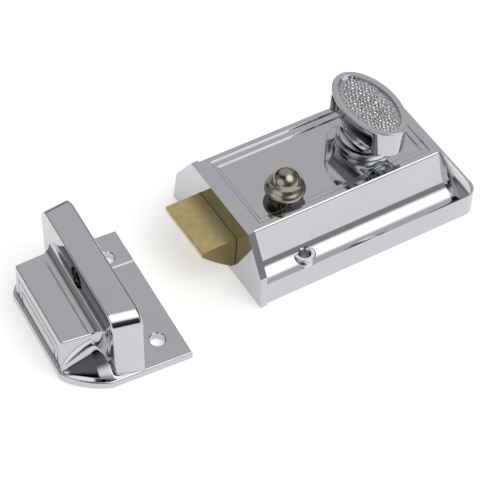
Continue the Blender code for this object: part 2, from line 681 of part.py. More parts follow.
def make_cam(material, parent):
    """A hub on the spindle, with the cylinder bar's slot in its face and the arm whose pin draws the bolt."""
    centre = (0.0, 0.0)
    cam = cylinder("rollback_cam", centre, CAM_RADIUS, CAM_LOW, CAM_HIGH, ROUND)
    pin_x, pin_y = drive_pin_place()
    tip = (pin_x - KNOB_X, pin_y)
    across = (-tip[1] / CAM_CRANK * CAM_ARM_HALF, tip[0] / CAM_CRANK * CAM_ARM_HALF)
    start = (0.15 * tip[0], 0.15 * tip[1])
    heading = math.atan2(tip[1], tip[0])
    outline = [(start[0] + across[0], start[1] + across[1]), (start[0] - across[0], start[1] - across[1])]
    outline += arc(tip, CAM_ARM_HALF, heading - 0.5 * math.pi, heading + 0.5 * math.pi, 8)
    boolean(cam, follow(prism("cam_arm", outline, CAM_LOW, CAM_ARM_HIGH), parent), "UNION")
    drive_pin = cylinder("cam_drive_pin", tip, CAM_DRIVE_PIN_RADIUS, CAM_DRIVE_PIN_LOW, CAM_ARM_HIGH - 0.0005)
    boolean(cam, follow(drive_pin, parent), "UNION")
    bore = cylinder("cam_bore", centre, SPINDLE_RADIUS + 0.0001, CAM_BORE_LOW, CAM_HIGH + PAST, ROUND)
    boolean(cam, follow(bore, parent), "DIFFERENCE")
    half_x, half_y = 0.5 * BAR_SLOT[0], 0.5 * BAR_SLOT[1]
    slot = box("bar_slot", (-half_x, -half_y, CAM_LOW - PAST), (half_x, half_y, CAM_BORE_LOW + 0.0002))
    boolean(cam, follow(slot, parent), "DIFFERENCE")
    hole = cylinder("cam_cross_hole", (0.0, CROSS_PIN_Z), CROSS_PIN_RADIUS + 0.0001, -CAM_RADIUS - PAST,
                    CAM_RADIUS + PAST, SMALL_ROUND, "Y")
    boolean(cam, follow(hole, parent), "DIFFERENCE")
    return finish_piece(cam, material, parent)


def make_cross_pin(material, parent):
    pin = cylinder("cam_cross_pin", (0.0, CROSS_PIN_Z), CROSS_PIN_RADIUS, -CAM_RADIUS + 0.0002,
                   CAM_RADIUS - 0.0002, SMALL_ROUND, "Y")
    return finish_piece(pin, material, parent)


def make_clip(material, parent):
    """A circlip: a flat ring in the spindle's groove, with a gap in it."""
    clip = cylinder("spindle_circlip", (0.0, 0.0), CLIP_RADIUS, CLIP_LOW, CLIP_LOW + CLIP_THICKNESS, ROUND)
    low, high = CLIP_LOW - PAST, CLIP_LOW + CLIP_THICKNESS + PAST
    middle = cylinder("clip_middle", (0.0, 0.0), CLIP_GROOVE_RADIUS + 0.0001, low, high, ROUND)
    boolean(clip, follow(middle, parent), "DIFFERENCE")
    gap = box("clip_gap", (-0.0026, -CLIP_RADIUS - PAST, low), (0.0026, 0.0, high))
    boolean(clip, follow(gap, parent), "DIFFERENCE")
    return finish_piece(clip, material, parent)


# ---------------------------------------------------------------- snib

def snib_button_profile():
    """(radius, height) pairs from the skirt's underside up to the top of the dome."""
    waist = (SNIB_WAIST_RADIUS, SNIB_SKIRT_HIGH + 0.0010)
    profile = [(SNIB_SKIRT_RADIUS - 0.0006, SNIB_SKIRT_LOW), (SNIB_SKIRT_RADIUS, SNIB_SKIRT_LOW + 0.0004),
               (SNIB_SKIRT_RADIUS, SNIB_SKIRT_HIGH - 0.0004), (SNIB_SKIRT_RADIUS - 0.0008, SNIB_SKIRT_HIGH)]
    profile.append((0.5 * (SNIB_SKIRT_RADIUS + waist[0]), SNIB_SKIRT_HIGH + 0.0002))
    start = -math.acos(waist[0] / SNIB_DOME_RADIUS)
    profile += arc((0.0, SNIB_DOME_Z), SNIB_DOME_RADIUS, start, math.radians(84), 12)
    return profile


def make_snib(button_material, steel, parent):
    centre = (0.0, 0.0)
    button = turned("snib_button", snib_button_profile(), centre)
    socket = cylinder("snib_socket", centre, SNIB_SPIGOT_RADIUS + SEAT_GAP, SNIB_SKIRT_LOW - PAST,
                      SNIB_SPIGOT_TOP + 0.0002)
    boolean(button, follow(socket, parent), "DIFFERENCE")
    finish_piece(button, button_material, parent)
    slider_high = SLIDER_LOW + SLIDER_THICKNESS
    shoulder_low = slider_high + SEAT_GAP
    shoulder_high = SNIB_SKIRT_LOW - SEAT_GAP
    profile = ((SNIB_TENON_RADIUS, SLIDER_LOW - 0.0004), (SNIB_TENON_RADIUS, shoulder_low),
               (SNIB_STEM_RADIUS, shoulder_low), (SNIB_STEM_RADIUS, shoulder_high),
               (SNIB_SPIGOT_RADIUS, shoulder_high), (SNIB_SPIGOT_RADIUS, SNIB_SPIGOT_TOP))
    stem = turned("snib_stem", profile, centre, SMALL_ROUND)
    finish_piece(stem, steel, parent)
    make_slider(steel, parent)


def make_slider(material, parent):
    """The plate under the plateau, with a lug turned down at its edge and two detent notches at its end."""
    (x0, y0), (x1, y1) = SLIDER_BOX
    x0, x1, y0, y1 = x0 - SNIB_X, x1 - SNIB_X, y0 - SNIB_Y, y1 - SNIB_Y
    high = SLIDER_LOW + SLIDER_THICKNESS
    slider = box("snib_slider", (x0, y0, SLIDER_LOW), (x1, y1, high))
    lug = box("slider_lug", (x0, y1 - 0.0040, SLIDER_LUG), (x0 + 0.0015, y1 - 0.0005, high - 0.0005))
    boolean(slider, follow(lug, parent), "UNION")
    hole = cylinder("slider_hole", (0.0, 0.0), SNIB_TENON_RADIUS + SEAT_GAP, SLIDER_LOW - PAST, high + PAST)
    boolean(slider, follow(hole, parent), "DIFFERENCE")
    for number, y in enumerate((0.0, -SNIB_TRAVEL), 1):
        notch = cylinder(f"detent_notch_{number}", (x1 + 0.0002, y), DETENT_NOTCH_RADIUS, SLIDER_LOW - PAST,
                         high + PAST)
        boolean(slider, follow(notch, parent), "DIFFERENCE")
    return finish_piece(slider, material, parent)


def make_detent(material, parent):
    """A bent strip fixed beside the slider, whose round nose stands in the slider's notch."""
    z0, z1 = SLIDER_LOW + 0.0002, SLIDER_LOW + SLIDER_THICKNESS - 0.0002
    nose_x = SLIDER_BOX[1][0] + 0.0002
    radius = DETENT_NOSE_RADIUS
    strip = DETENT_STRIP
    near, far = DETENT_ENDS
    face = nose_x + DETENT_NOTCH_RADIUS
    foot = face + near
    outer = [(face, SNIB_Y - near), (face, SNIB_Y - radius)]
    outer += arc((nose_x + 0.0010, SNIB_Y), radius, 1.5 * math.pi, 0.5 * math.pi, 8)
    outer += [(face, SNIB_Y + radius), (face, SNIB_Y + far), (foot, SNIB_Y + far)]
    inner = [(foot, SNIB_Y + far - strip), (face + strip, SNIB_Y + far - strip),
             (face + strip, SNIB_Y - near)]
    return finish_piece(prism("snib_detent_spring", outer + inner, z0, z1), material, parent)


# ---------------------------------------------------------------- staple

def staple_plate_outline():
    """The staple's foot in plan: square towards the case, drawn in round the box at its other end."""
    near = [(STAPLE_LEFT, STAPLE_LEFT_HALF)]
    corner = (STAPLE_SHOULDER, STAPLE_HALF)
    steps = 6
    for i in range(1, steps + 1):
        angle = 0.5 * math.pi * i / steps
        u = STAPLE_LEFT + (corner[0] - STAPLE_LEFT) * (1 - math.cos(angle))
        v = STAPLE_LEFT_HALF + (corner[1] - STAPLE_LEFT_HALF) * math.sin(angle)
        near.append((u, v))
    half = near + [(STAPLE_FLANGE, STAPLE_HALF)]
    return half + [(u, -v) for u, v in reversed(half)]


def staple_extent():
    """The staple's lowest X and lowest Y from the case's datum, once it has been turned and placed."""
    cos, sin = math.cos(STAPLE_YAW), math.sin(STAPLE_YAW)
    xs = [STAPLE_ORIGIN[0] + u * cos - v * sin for u, v in staple_plate_outline()]
    ys = [STAPLE_ORIGIN[1] + u * sin + v * cos for u, v in staple_plate_outline()]
    return min(xs), min(ys)


def staple_wall_form():
    """The tall wall, with rounded upper corners. Its ends splay towards the case, and it leans back."""
    radius = STAPLE_CORNER_RADIUS
    flat = 0.0002
    rings = []
    for u, half in ((-STAPLE_WALL, STAPLE_HALF - STAPLE_WALL_DRAFT), (0.0, STAPLE_HALF)):
        outline = rounded_rectangle((-half, 0.0), (half, STAPLE_HEIGHT), (flat, flat, radius, radius))
        rings.append([(u + STAPLE_WALL_LEAN * (1 - z / STAPLE_HEIGHT), v, z) for v, z in outline])
    return loft("staple_wall_form", rings)


def staple_box_form():
    """The box over the bolt's pocket, its ends hollowed out towards the foot, the more so near the wall."""
    steps = 8
    rings = []
    for u, half_width, cove_top, cove_foot in BOX_SECTIONS:
        rise = cove_top - STAPLE_PLATE
        reach = cove_foot - half_width
        half = [(cove_foot, 0.0005)]
        for i in range(steps + 1):
            angle = 0.5 * math.pi * i / steps
            half.append((cove_foot - reach * math.sin(angle), cove_top - rise * math.cos(angle)))
        half.append((half_width, BOX_HEIGHT))
        rings.append([(u, v, z) for v, z in mirrored(half)])
    rings.append([(-0.5 * STAPLE_WALL, v, z) for _, v, z in rings[-1]])
    return loft("staple_box_form", rings)


def staple_fillet_form():
    """The hollow fillet between the box's top and the wall."""
    radius = BOX_FILLET
    wall = -STAPLE_WALL + STAPLE_WALL_LEAN * (1 - BOX_HEIGHT / STAPLE_HEIGHT)
    corner = (wall + 0.0010, BOX_HEIGHT - 0.0005)
    outline = [corner, (corner[0], BOX_HEIGHT + radius)]
    outline += arc((wall - radius, BOX_HEIGHT + radius), radius, 0.0, -0.5 * math.pi, 8)
    outline.append((wall - radius, corner[1]))
    return prism("staple_fillet_form", outline, -BOX_HALF, BOX_HALF, "Y")


def make_staple(material, parent):
    staple = prism("staple_body", staple_plate_outline(), 0.0, STAPLE_PLATE)
    inside = prism("staple_outline_form", staple_plate_outline(), -PAST, STAPLE_HEIGHT)
    follow(inside, parent)
    box_form = follow(staple_box_form(), parent)
    boolean(box_form, inside, "INTERSECT")
    for form in (staple_wall_form(), box_form, staple_fillet_form()):
        boolean(staple, follow(form, parent), "UNION")
    step = box("flange_step", (0.0010, -STAPLE_HALF + PAD_LENGTH, STAPLE_PLATE - PAD_STEP),
               (STAPLE_FLANGE + PAST, STAPLE_HALF - PAD_LENGTH, STAPLE_PLATE + PAST))
    boolean(staple, follow(step, parent), "DIFFERENCE")
    for side, sign in (("near", -1), ("far", 1)):
        hole = cylinder(f"flange_hole_{side}", (FLANGE_HOLE[0], sign * FLANGE_HOLE[1]), FLANGE_HOLE_RADIUS,
                        -PAST, STAPLE_PLATE + PAST, 24)
        boolean(staple, follow(hole, parent), "DIFFERENCE")
    pocket = box("bolt_pocket", (POCKET[0], -POCKET_HALF, -PAST), (POCKET[1], POCKET_HALF, POCKET_HEIGHT))
    boolean(staple, follow(pocket, parent), "DIFFERENCE")
    through = cylinder("wall_hole", (0.0, WALL_HOLE_Z), WALL_HOLE_RADIUS, BOX_LEFT, PAST, 24, "X")
    boolean(staple, follow(through, parent), "DIFFERENCE")
    wide = cylinder("wall_counterbore", (0.0, WALL_HOLE_Z), WALL_COUNTERBORE_RADIUS, BOX_LEFT,
                    WALL_COUNTERBORE_SEAT, 24, "X")
    boolean(staple, follow(wide, parent), "DIFFERENCE")
    return finish_piece(staple, material, parent)


# ---------------------------------------------------------------- assembly

def clear_scene():
    for obj in list(bpy.data.objects):
        bpy.data.objects.remove(obj, do_unlink=True)


def main():
    clear_scene()
    chrome = make_material("chrome", (0.60, 0.60, 0.61), 1.0, 0.06)
    brass = make_material("satin_brass", (0.68, 0.60, 0.36), 1.0, 0.35)
    nickel = make_material("pearl_nickel", (0.45, 0.41, 0.34), 1.0, 0.20)
    steel = make_material("zinc_plated_steel", (0.62, 0.62, 0.60), 1.0, 0.35)
    spring_steel = make_material("spring_steel", (0.40, 0.40, 0.42), 1.0, 0.30)
    staple_low_x, staple_low_y = staple_extent()
    centre_x = 0.5 * (staple_low_x + CASE_LENGTH)
    centre_y = 0.5 * (staple_low_y + RIB_HALF_WIDTHS[0][0])
    latch = add_empty("latch_datum", (-centre_x, -centre_y, 0.0))
    carriage = add_empty("bolt_carriage", (0.0, 0.0, 0.0), latch)
    knob_axis = add_empty("knob_axis", (KNOB_X, 0.0, 0.0), latch)
    snib_carriage = add_empty("snib_carriage", (SNIB_X, SNIB_Y, 0.0), latch)
    staple_frame = add_empty("staple_frame", (*STAPLE_ORIGIN, 0.0), latch, STAPLE_YAW)

    make_case(chrome, latch)
    make_back_plate(steel, latch)
    make_plate_screws(steel, latch)
    make_bush(chrome, latch)
    make_detent(spring_steel, latch)
    for number, y in enumerate((-SPRING_Y, SPRING_Y), 1):
        make_spring(f"bolt_spring_{number}", (y, SPRING_Z), spring_steel, latch)
    make_bolt(brass, carriage)
    make_tail(steel, carriage)
    make_rivets(steel, carriage)
    make_knob(chrome, knob_axis)
    make_spindle(steel, knob_axis)
    make_cam(steel, knob_axis)
    make_cross_pin(steel, knob_axis)
    make_clip(spring_steel, knob_axis)
    make_snib(nickel, steel, snib_carriage)
    make_staple(chrome, staple_frame)
    for obj in bpy.data.objects:
        if obj.hide_render and obj.parent is None:
            obj.parent = latch


main()
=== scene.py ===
"""The finished look of the rim night latch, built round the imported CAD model. Lengths are in metres."""

import json
import math

import bmesh
import bpy
import numpy as np
from mathutils import Matrix, Vector


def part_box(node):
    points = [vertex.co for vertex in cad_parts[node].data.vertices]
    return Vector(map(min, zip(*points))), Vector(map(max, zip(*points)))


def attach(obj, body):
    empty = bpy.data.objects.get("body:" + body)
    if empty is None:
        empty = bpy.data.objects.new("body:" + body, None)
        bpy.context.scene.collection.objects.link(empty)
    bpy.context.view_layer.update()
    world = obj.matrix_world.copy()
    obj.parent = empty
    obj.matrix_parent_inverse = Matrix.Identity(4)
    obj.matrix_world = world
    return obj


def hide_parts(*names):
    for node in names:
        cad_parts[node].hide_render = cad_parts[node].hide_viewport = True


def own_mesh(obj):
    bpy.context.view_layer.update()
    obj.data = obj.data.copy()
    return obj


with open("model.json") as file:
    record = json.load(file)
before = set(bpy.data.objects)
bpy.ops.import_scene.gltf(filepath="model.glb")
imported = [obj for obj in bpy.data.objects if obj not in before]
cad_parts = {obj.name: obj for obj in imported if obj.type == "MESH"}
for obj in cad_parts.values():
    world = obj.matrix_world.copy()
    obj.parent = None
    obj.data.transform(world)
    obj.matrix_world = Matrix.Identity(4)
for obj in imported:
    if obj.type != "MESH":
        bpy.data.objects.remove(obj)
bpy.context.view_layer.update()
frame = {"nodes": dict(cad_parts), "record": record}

# The latch's datum: X = 0 at the case's front face, Y = 0 on its centre line, Z = 0 at its back
CASE_LOW, CASE_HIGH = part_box("case_body")
DATUM = Vector((CASE_LOW.x, 0.5 * (CASE_LOW.y + CASE_HIGH.y), 0.0))

# Case
CASE_LENGTH = CASE_HIGH.x - CASE_LOW.x
BAND_HALF = 0.0283
BAND_HEIGHT = 0.0094
BAND_DRAFT = 0.0003
CASE_HEIGHT = 0.0265
COVE_RADIUS = 0.0076
FACE_LEAN = math.radians(12.5)
PLATEAU_END = 0.0778
END_BLOCK_START = 0.0820
END_BLOCK_TOP_END = 0.0887
# How the middle of the case runs on inside the end block: X, and the height it still reaches
RUN_OUT = ((0.0774, 0.0265), (0.0791, 0.0242), (0.0822, 0.0195))
RUN_OUT_SPACING = 0.0002
END_HOLLOW_HALF = 0.0182
# The shapes that are joined into the case's outside overlap from this height, and from this X
OVERLAP_LOW = 0.5 * BAND_HEIGHT
OVERLAP_FRONT = 0.0004
REAR_CORNER_RADIUS = 0.0050
FRONT_CORNER_RADIUS = 0.0020
SMALLEST_CORNER = 0.0004
CASE_EDGE = 0.00035
WALL = 0.0022
FRONT_WALL = 0.0032
RIB_THICKNESS = 0.0026
# The front rib's half-width and the height at which it has it
RIB_HALF_WIDTHS = ((0.0290, 0.0), (0.0275, 0.0129), (0.0184, 0.0267))
# Each screw boss, as X and distance from the centre line
SCREW_BOSS = (0.0200, 0.0235)
SCREW_BOSS_RADIUS = 0.0039
SCREW_BOSS_TOP = 0.0115
SCREW_BOSS_EDGE = 0.0004
SCREW_HOLE_RADIUS = 0.0019
SCREW_HOLE_CHAMFER = 0.0005
PILLAR_TOP = SCREW_BOSS_TOP - 0.0005
# Posts for the back plate's screws, as X, distance from the centre line and top
POSTS = ((0.0090, 0.0200, 0.0106), (0.0835, 0.0200, 0.0105))
POST_RADIUS = 0.0030
POST_LOW = 0.0033
POST_HOLE_RADIUS = 0.0012
POST_HOLE_TOP = 0.0089
# The bolt's way out through the front: half-width, lower and upper edge
BOLT_WINDOW = (0.0123, 0.0047, 0.0186)
PLATEAU_EDGE = 0.0009
# The plateau's panel is sunk in two steps: each one's X range and half-width
PANEL_STEPS = ((0.0062, 0.0748, 0.0157), (0.0077, 0.0728, 0.0134))
PANEL_STEP_DEPTH = 0.0005
PANEL_LEDGE_DROP = 0.00025
PANEL_DEPTH = 2 * PANEL_STEP_DEPTH + PANEL_LEDGE_DROP
PANEL_SLOPE_HALF = 0.0003
# The broken edge where the outer step leaves the face: how far out, and how deep
PANEL_BREAK = (0.0001, 0.00002)
# The wall that the springs push against: its X range, half-width and lower edge
SPRING_WALL = (0.0430, 0.0450, 0.0120, 0.0090)

# Bolt, from the case's datum
BOLT_THROW = 0.0135
BOLT_REAR = 0.0200
BOLT_HALF = 0.0120
BOLT_LOW = 0.0050
BOLT_HIGH = 0.0183
BOLT_NOSE = 0.0020
BOLT_BEVEL_END = -0.0013
BOLT_BEVEL_BULGE = 0.0004
BOLT_EDGE = 0.00025
BOLT_TIP_EDGE = 0.0002
# The step under the bolt's rear where its tail lies, as X and height
TAIL_STEP = (0.0110, 0.0082)
SPRING_Y = 0.0074
SPRING_Z = 0.0130
# Each spring's bore in the bolt: radius and blind end
SPRING_BORE = (0.0033, 0.0100)
RIVET_PLACES = ((0.0155, -0.0045), (0.0155, 0.0045))
RIVET_HOLE_RADIUS = 0.0014
RIVET_HOLE_TOP = 0.0095
SPRING_RUN = (0.01065, 0.04235)
SPRING_COIL_RADIUS = 0.0024
SPRING_WIRE_RADIUS = 0.00035
SPRING_TURNS = 12

# Knob and bush, round the knob's axis
KNOB_X = 0.0585
BUSH_RADIUS = 0.0102
BUSH_NECK_RADIUS = 0.0060
BUSH_BORE_RADIUS = 0.0043
BUSH_CLEARANCE = 0.0001
BUSH_EDGE = 0.0003
BUSH_LOW = 0.0243
BUSH_SEAT = CASE_HEIGHT - PANEL_DEPTH + 0.0001
BUSH_TOP = 0.0275
KNOB_SIDES = 256
KNOB_TURN = math.radians(3.1)
KNOB_FOOT = 0.0279
KNOB_FOOT_RADIUS = 0.0090
KNOB_HEAD_LOW = 0.0330
KNOB_TOP = 0.0434
KNOB_HALF_LONG = 0.0168
KNOB_HALF_SHORT = 0.0099
KNOB_EDGE = 0.0003
KNOB_TOP_EDGE = 0.0004
KNOB_RIM = 0.0022
KNOB_RECESS = 0.0010
KNOB_PANEL_FILLET = 0.0002
KNOB_SHARP = math.radians(50)
# The spindle's bore: radius and blind end
KNOB_BORE = (0.0041, 0.0402)
# The scoops: how far in, as a share of the half-width; how they fade with height; over what height; and
# between which shares of the half-length they end
KNOB_SCOOP = 0.345
SCOOP_CURVE = 4.0
SCOOP_REACH = 0.0094
SCOOP_EDGE = (0.58, 0.74)
# Foot, neck and moulding, as height, half-length, half-width and scoop
KNOB_NECK = ((0.0287, 0.0090, 0.0090, 0.00), (0.0291, 0.0089, 0.0080, 0.00), (0.0297, 0.0092, 0.0070, 0.00),
             (0.0305, 0.0102, 0.0066, 0.00), (0.0313, 0.0122, 0.0066, 0.02), (0.0319, 0.0146, 0.0072, 0.10))
# The moulding's top just under the head, as drop, half-length, half-width and scoop
KNOB_MOULDING = ((0.0004, 0.0157, 0.0086, 0.25), (0.0003, 0.0160, 0.0090, 0.28), (0.0, 0.0160, 0.0091, 0.29))
PEBBLE_PITCH = 0.0014
PEBBLE_HEIGHT = 0.00036
PEBBLE_ROWS = 18
PEBBLE_COLUMNS = 14
PEBBLE_ROW_SPACING = 0.86
PEBBLE_JITTER = 0.30
PEBBLE_FALL = 1.2
PEBBLE_VALLEY = 4.0
PEBBLE_RINGS = 84
PEBBLE_FADE_RINGS = 3
PEBBLE_SEED = 7

# Snib
SNIB_X = 0.0206
SNIB_Y = -0.0082
SNIB_LOW = 0.0284
SNIB_EDGE = 0.0004
SNIB_SLOT_Y = -0.00595
# The slot's half-width and half-length
SNIB_SLOT_HALF = (0.0023, 0.00455)
# The bell's outline, as radius and height
SNIB_BELL = ((0.00700, 0.0288), (0.00700, 0.0293), (0.00680, 0.0299), (0.00635, 0.0305), (0.00585, 0.0310),
             (0.00545, 0.0315), (0.00515, 0.0320))
SNIB_DOME_RADIUS = 0.0049
SNIB_DOME_Z = 0.0323
SNIB_DOME_ARC = (math.radians(4), math.radians(89))
# The stem's socket: radius and blind end
SNIB_SOCKET = (0.0016, 0.0312)

# Staple, in its own frame: U along the wall's normal towards the case, V across, U = 0 at the wall's top
STAPLE_ORIGIN = Vector((-0.0467, -0.0054, 0.0))
STAPLE_YAW = math.radians(-3.9)
STAPLE_HALF = 0.0294
STAPLE_PLATE = 0.0030
STAPLE_FLANGE = 0.0180
STAPLE_LEFT = -0.0248
STAPLE_LEFT_HALF = 0.0185
STAPLE_SHOULDER = -0.0105
STAPLE_EDGE = 0.0006
STAPLE_LOW_EDGE = 0.0002
# Power of the curve that rounds the foot's two outer corners
STAPLE_BULGE = 1.47
STAPLE_WALL = 0.0103
STAPLE_WALL_LEAN = 0.0015
STAPLE_WALL_DRAFT = 0.0017
STAPLE_WALL_EDGE = 0.0005
# How far the wall's face rounds over into its top and into its sides, and how much of that the top drops
STAPLE_WALL_SOFT = 0.0014
STAPLE_SIDE_SOFT = 0.0012
STAPLE_SOFT_DROP = 0.9
STAPLE_LOW_CORNER = 0.0002
STAPLE_HEIGHT = 0.0310
STAPLE_CORNER_RADIUS = 0.0058
BOX_LEFT = -0.0239
BOX_HEIGHT = 0.0175
BOX_EDGE = 0.0006
BOX_LOW = 0.0005
# Ends of the box's straight part: U, half-width on top, the hollow foot's top and its half-width
BOX_ENDS = ((-0.0239, 0.0181, 0.0050, 0.0192), (-0.0139, 0.0189, 0.0112, 0.0265))
# What the foot has reached at the wall
BOX_FOOT_AT_WALL = (0.0125, 0.0286)
BOX_FOOT_ARC = (math.radians(10), math.radians(60))
BOX_FILLET = 0.0042
BOX_SIDE_FILLET = 0.0046
# Each groove on the box's end face: height of its upper run and half the distance between its legs
BOX_GROOVES = ((0.0133, 0.0153), (0.0098, 0.0128))
# A groove's half-width at its mouth and at its floor, its depth, and how far the cut stands out of the face
GROOVE_MOUTH = 0.0006
GROOVE_FLOOR = 0.55 * GROOVE_MOUTH
GROOVE_DEPTH = 0.0006
GROOVE_OUT = -0.0002
GROOVE_LOW = STAPLE_PLATE - 0.0004
# The flange's two raised pads: their length from each end, where they start and how high they stand
PAD_LENGTH = 0.0145
PAD_START = 0.0022
PAD_STEP = 0.0005
# Each flange hole, as U and distance from the centre line
FLANGE_HOLE = (0.0100, 0.0195)
FLANGE_HOLE_RADIUS = 0.0026
FLANGE_HOLE_CHAMFER = 0.0003
WALL_HOLE_Z = 0.0236
WALL_HOLE_RADIUS = 0.0024
WALL_HOLE_END = 0.0030
# The counterbore's radius and seat
WALL_COUNTERBORE = (0.0040, -0.0070)
# The bolt's pocket under the box, from U to U
POCKET = (-0.0193, -0.0040)
POCKET_HALF = 0.0135
POCKET_HEIGHT = 0.0145

# How far a cutter passes the surface that it opens
PAST = 0.0010
SHARP = math.radians(30)


# ---------------------------------------------------------------- mesh helpers

def arc(centre, radius, start, end, steps):
    points = []
    for i in range(steps + 1):
        angle = start + (end - start) * i / steps
        points.append((centre[0] + radius * math.cos(angle), centre[1] + radius * math.sin(angle)))
    return points


def circle(centre, radius, sides):
    return arc(centre, radius, 0.0, 2 * math.pi, sides)[:-1]


def smooth_step(value):
    value = min(max(value, 0.0), 1.0)
    return value * value * (3 - 2 * value)


def corner_arc(centre, radius, start, steps=5, clockwise=False):
    """A quarter turn from the start angle, in degrees."""
    turn = -0.5 * math.pi if clockwise else 0.5 * math.pi
    return arc(centre, radius, math.radians(start), math.radians(start) + turn, steps)


def loft_mesh(rings, capped=True):
    """A bmesh through closed rings of equal point counts."""
    bm = bmesh.new()
    loops = [[bm.verts.new(point) for point in ring] for ring in rings]
    count = len(loops[0])
    for lower, upper in zip(loops, loops[1:]):
        for i in range(count):
            j = (i + 1) % count
            bm.faces.new((lower[i], lower[j], upper[j], upper[i]))
    if capped:
        bm.faces.new(loops[0][::-1])
        bm.faces.new(loops[-1])
    return bm


def add_object(name, bm):
    bmesh.ops.recalc_face_normals(bm, faces=bm.faces)
    mesh = bpy.data.meshes.new(name)
    bm.to_mesh(mesh)
    bm.free()
    obj = bpy.data.objects.new(name, mesh)
    bpy.context.scene.collection.objects.link(obj)
    return obj


def swap_axes(point, axis):
    across, up, along = point
    if axis == "X":
        return (along, across, up)
    if axis == "Y":
        return (across, along, up)
    return (across, up, along)


def prism(name, outline, low, high, axis="Z"):
    rings = [[swap_axes((a, b, along), axis) for a, b in outline] for along in (low, high)]
    return add_object(name, loft_mesh(rings))


def box(name, low, high):
    outline = [(low[0], low[1]), (high[0], low[1]), (high[0], high[1]), (low[0], high[1])]
    return prism(name, outline, low[2], high[2])


def cylinder(name, centre, radius, low, high, sides=64, axis="Z"):
    return prism(name, circle(centre, radius, sides), low, high, axis)


def turned(name, profile, centre, sides=96):
    rings = [[(x, y, height) for x, y in circle(centre, radius, sides)] for radius, height in profile]
    return add_object(name, loft_mesh(rings))


def chamfered_hole(name, centre, radius, top, chamfer):
    """The cutter for a hole right through, whose mouth at the top is chamfered."""
    mouth = radius + chamfer
    profile = [(radius, -PAST), (radius, top - chamfer), (mouth, top), (mouth, top + PAST)]
    return turned(name, profile, centre, 64)


def hull(name, points):
    bm = bmesh.new()
    for point in points:
        bm.verts.new(point)
    result = bmesh.ops.convex_hull(bm, input=bm.verts)
    spare = [item for item in result["geom_interior"] if isinstance(item, bmesh.types.BMVert)]
    bmesh.ops.delete(bm, geom=spare, context="VERTS")
    return add_object(name, bm)


def rounded_rectangle(low, high, radii, steps=10):
    corners = (
        (low[0] + radii[0], low[1] + radii[0], math.pi),
        (high[0] - radii[1], low[1] + radii[1], 1.5 * math.pi),
        (high[0] - radii[2], high[1] - radii[2], 0.0),
        (low[0] + radii[3], high[1] - radii[3], 0.5 * math.pi),
    )
    outline = []
    for (x, y, start), radius in zip(corners, radii):
        outline += arc((x, y), radius, start, start + 0.5 * math.pi, steps)
    return outline


def slot_outline(centre, half_width, half_length, steps=16):
    """A round-ended slot along Y."""
    reach = half_length - half_width
    far = arc((centre[0], centre[1] + reach), half_width, 0.0, math.pi, steps)
    near = arc((centre[0], centre[1] - reach), half_width, math.pi, 2 * math.pi, steps)
    return far + near


def bake(obj):
    """Applies an object's modifiers."""
    bpy.context.view_layer.update()
    graph = bpy.context.evaluated_depsgraph_get()
    mesh = bpy.data.meshes.new_from_object(obj.evaluated_get(graph))
    old = obj.data
    obj.modifiers.clear()
    obj.data = mesh
    bpy.data.meshes.remove(old)
    return obj


def combine(target, others, operation):
    """Joins other shapes to the target, or cuts them away, one after another."""
    for other in others:
        modifier = target.modifiers.new("combine", "BOOLEAN")
        modifier.operation = operation
        modifier.object = other
        modifier.solver = "EXACT"
        bake(target)
        bpy.data.objects.remove(other, do_unlink=True)
    return target


def tidy_faces(obj):
    """Makes one face of each flat area that a Boolean has split."""
    bm = bmesh.new()
    bm.from_mesh(obj.data)
    bmesh.ops.remove_doubles(bm, verts=bm.verts, dist=2e-6)
    bmesh.ops.dissolve_limit(bm, angle_limit=math.radians(0.3), verts=bm.verts, edges=bm.edges)
    bm.to_mesh(obj.data)
    bm.free()
    return obj


def soften(obj, width, segments=3, angle=25.0):
    """Rounds the sharp edges."""
    modifier = obj.modifiers.new("soften", "BEVEL")
    modifier.width = width
    modifier.segments = segments
    modifier.limit_method = "ANGLE"
    modifier.angle_limit = math.radians(angle)
    modifier.miter_outer = "MITER_ARC"
    modifier.use_clamp_overlap = True
    return bake(obj)


def shade(obj, angle=SHARP):
    """Smooth shading whose normals follow the large flat faces."""
    obj.data.shade_smooth()
    obj.data.set_sharp_from_angle(angle=angle)
    modifier = obj.modifiers.new("flat faces", "WEIGHTED_NORMAL")
    modifier.weight = 100
    modifier.keep_sharp = True
    return obj


def place(obj, material, body, nodes, matrix=None):
    """Moves a finished piece from its own datum into the frame, ties it to its body and hides the CAD nodes
    that it stands for.
    """
    obj.data.transform(matrix if matrix is not None else Matrix.Translation(DATUM))
    obj.data.materials.clear()
    obj.data.materials.append(material)
    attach(obj, body)
    if nodes:
        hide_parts(*nodes)
    return obj


# ---------------------------------------------------------------- case

def side_profile(inset):
    """Half of the case's cross-section as (Y, Z), from the band's top edge up to the plateau's sharp edge."""
    centre = (BAND_HALF - BAND_DRAFT, BAND_HEIGHT + COVE_RADIUS)
    radius = COVE_RADIUS + inset
    start = math.pi + math.acos(inset / radius)
    points = arc(centre, radius, start, math.pi + FACE_LEAN, 28)
    top = CASE_HEIGHT - inset
    y, z = points[-1]
    return points + [(y - (top - z) * math.tan(FACE_LEAN), top)]


def rounded_profile(inset):
    """The same cross-section with the plateau's edge rounded over."""
    profile = side_profile(inset)
    y, top = profile[-1]
    radius = PLATEAU_EDGE
    centre = (y - radius * (1 - math.sin(FACE_LEAN)) / math.cos(FACE_LEAN), top - radius)
    return profile[:-1] + arc(centre, radius, FACE_LEAN, 0.5 * math.pi, 8)


def mirrored(half):
    return half + [(-y, z) for y, z in reversed(half)]


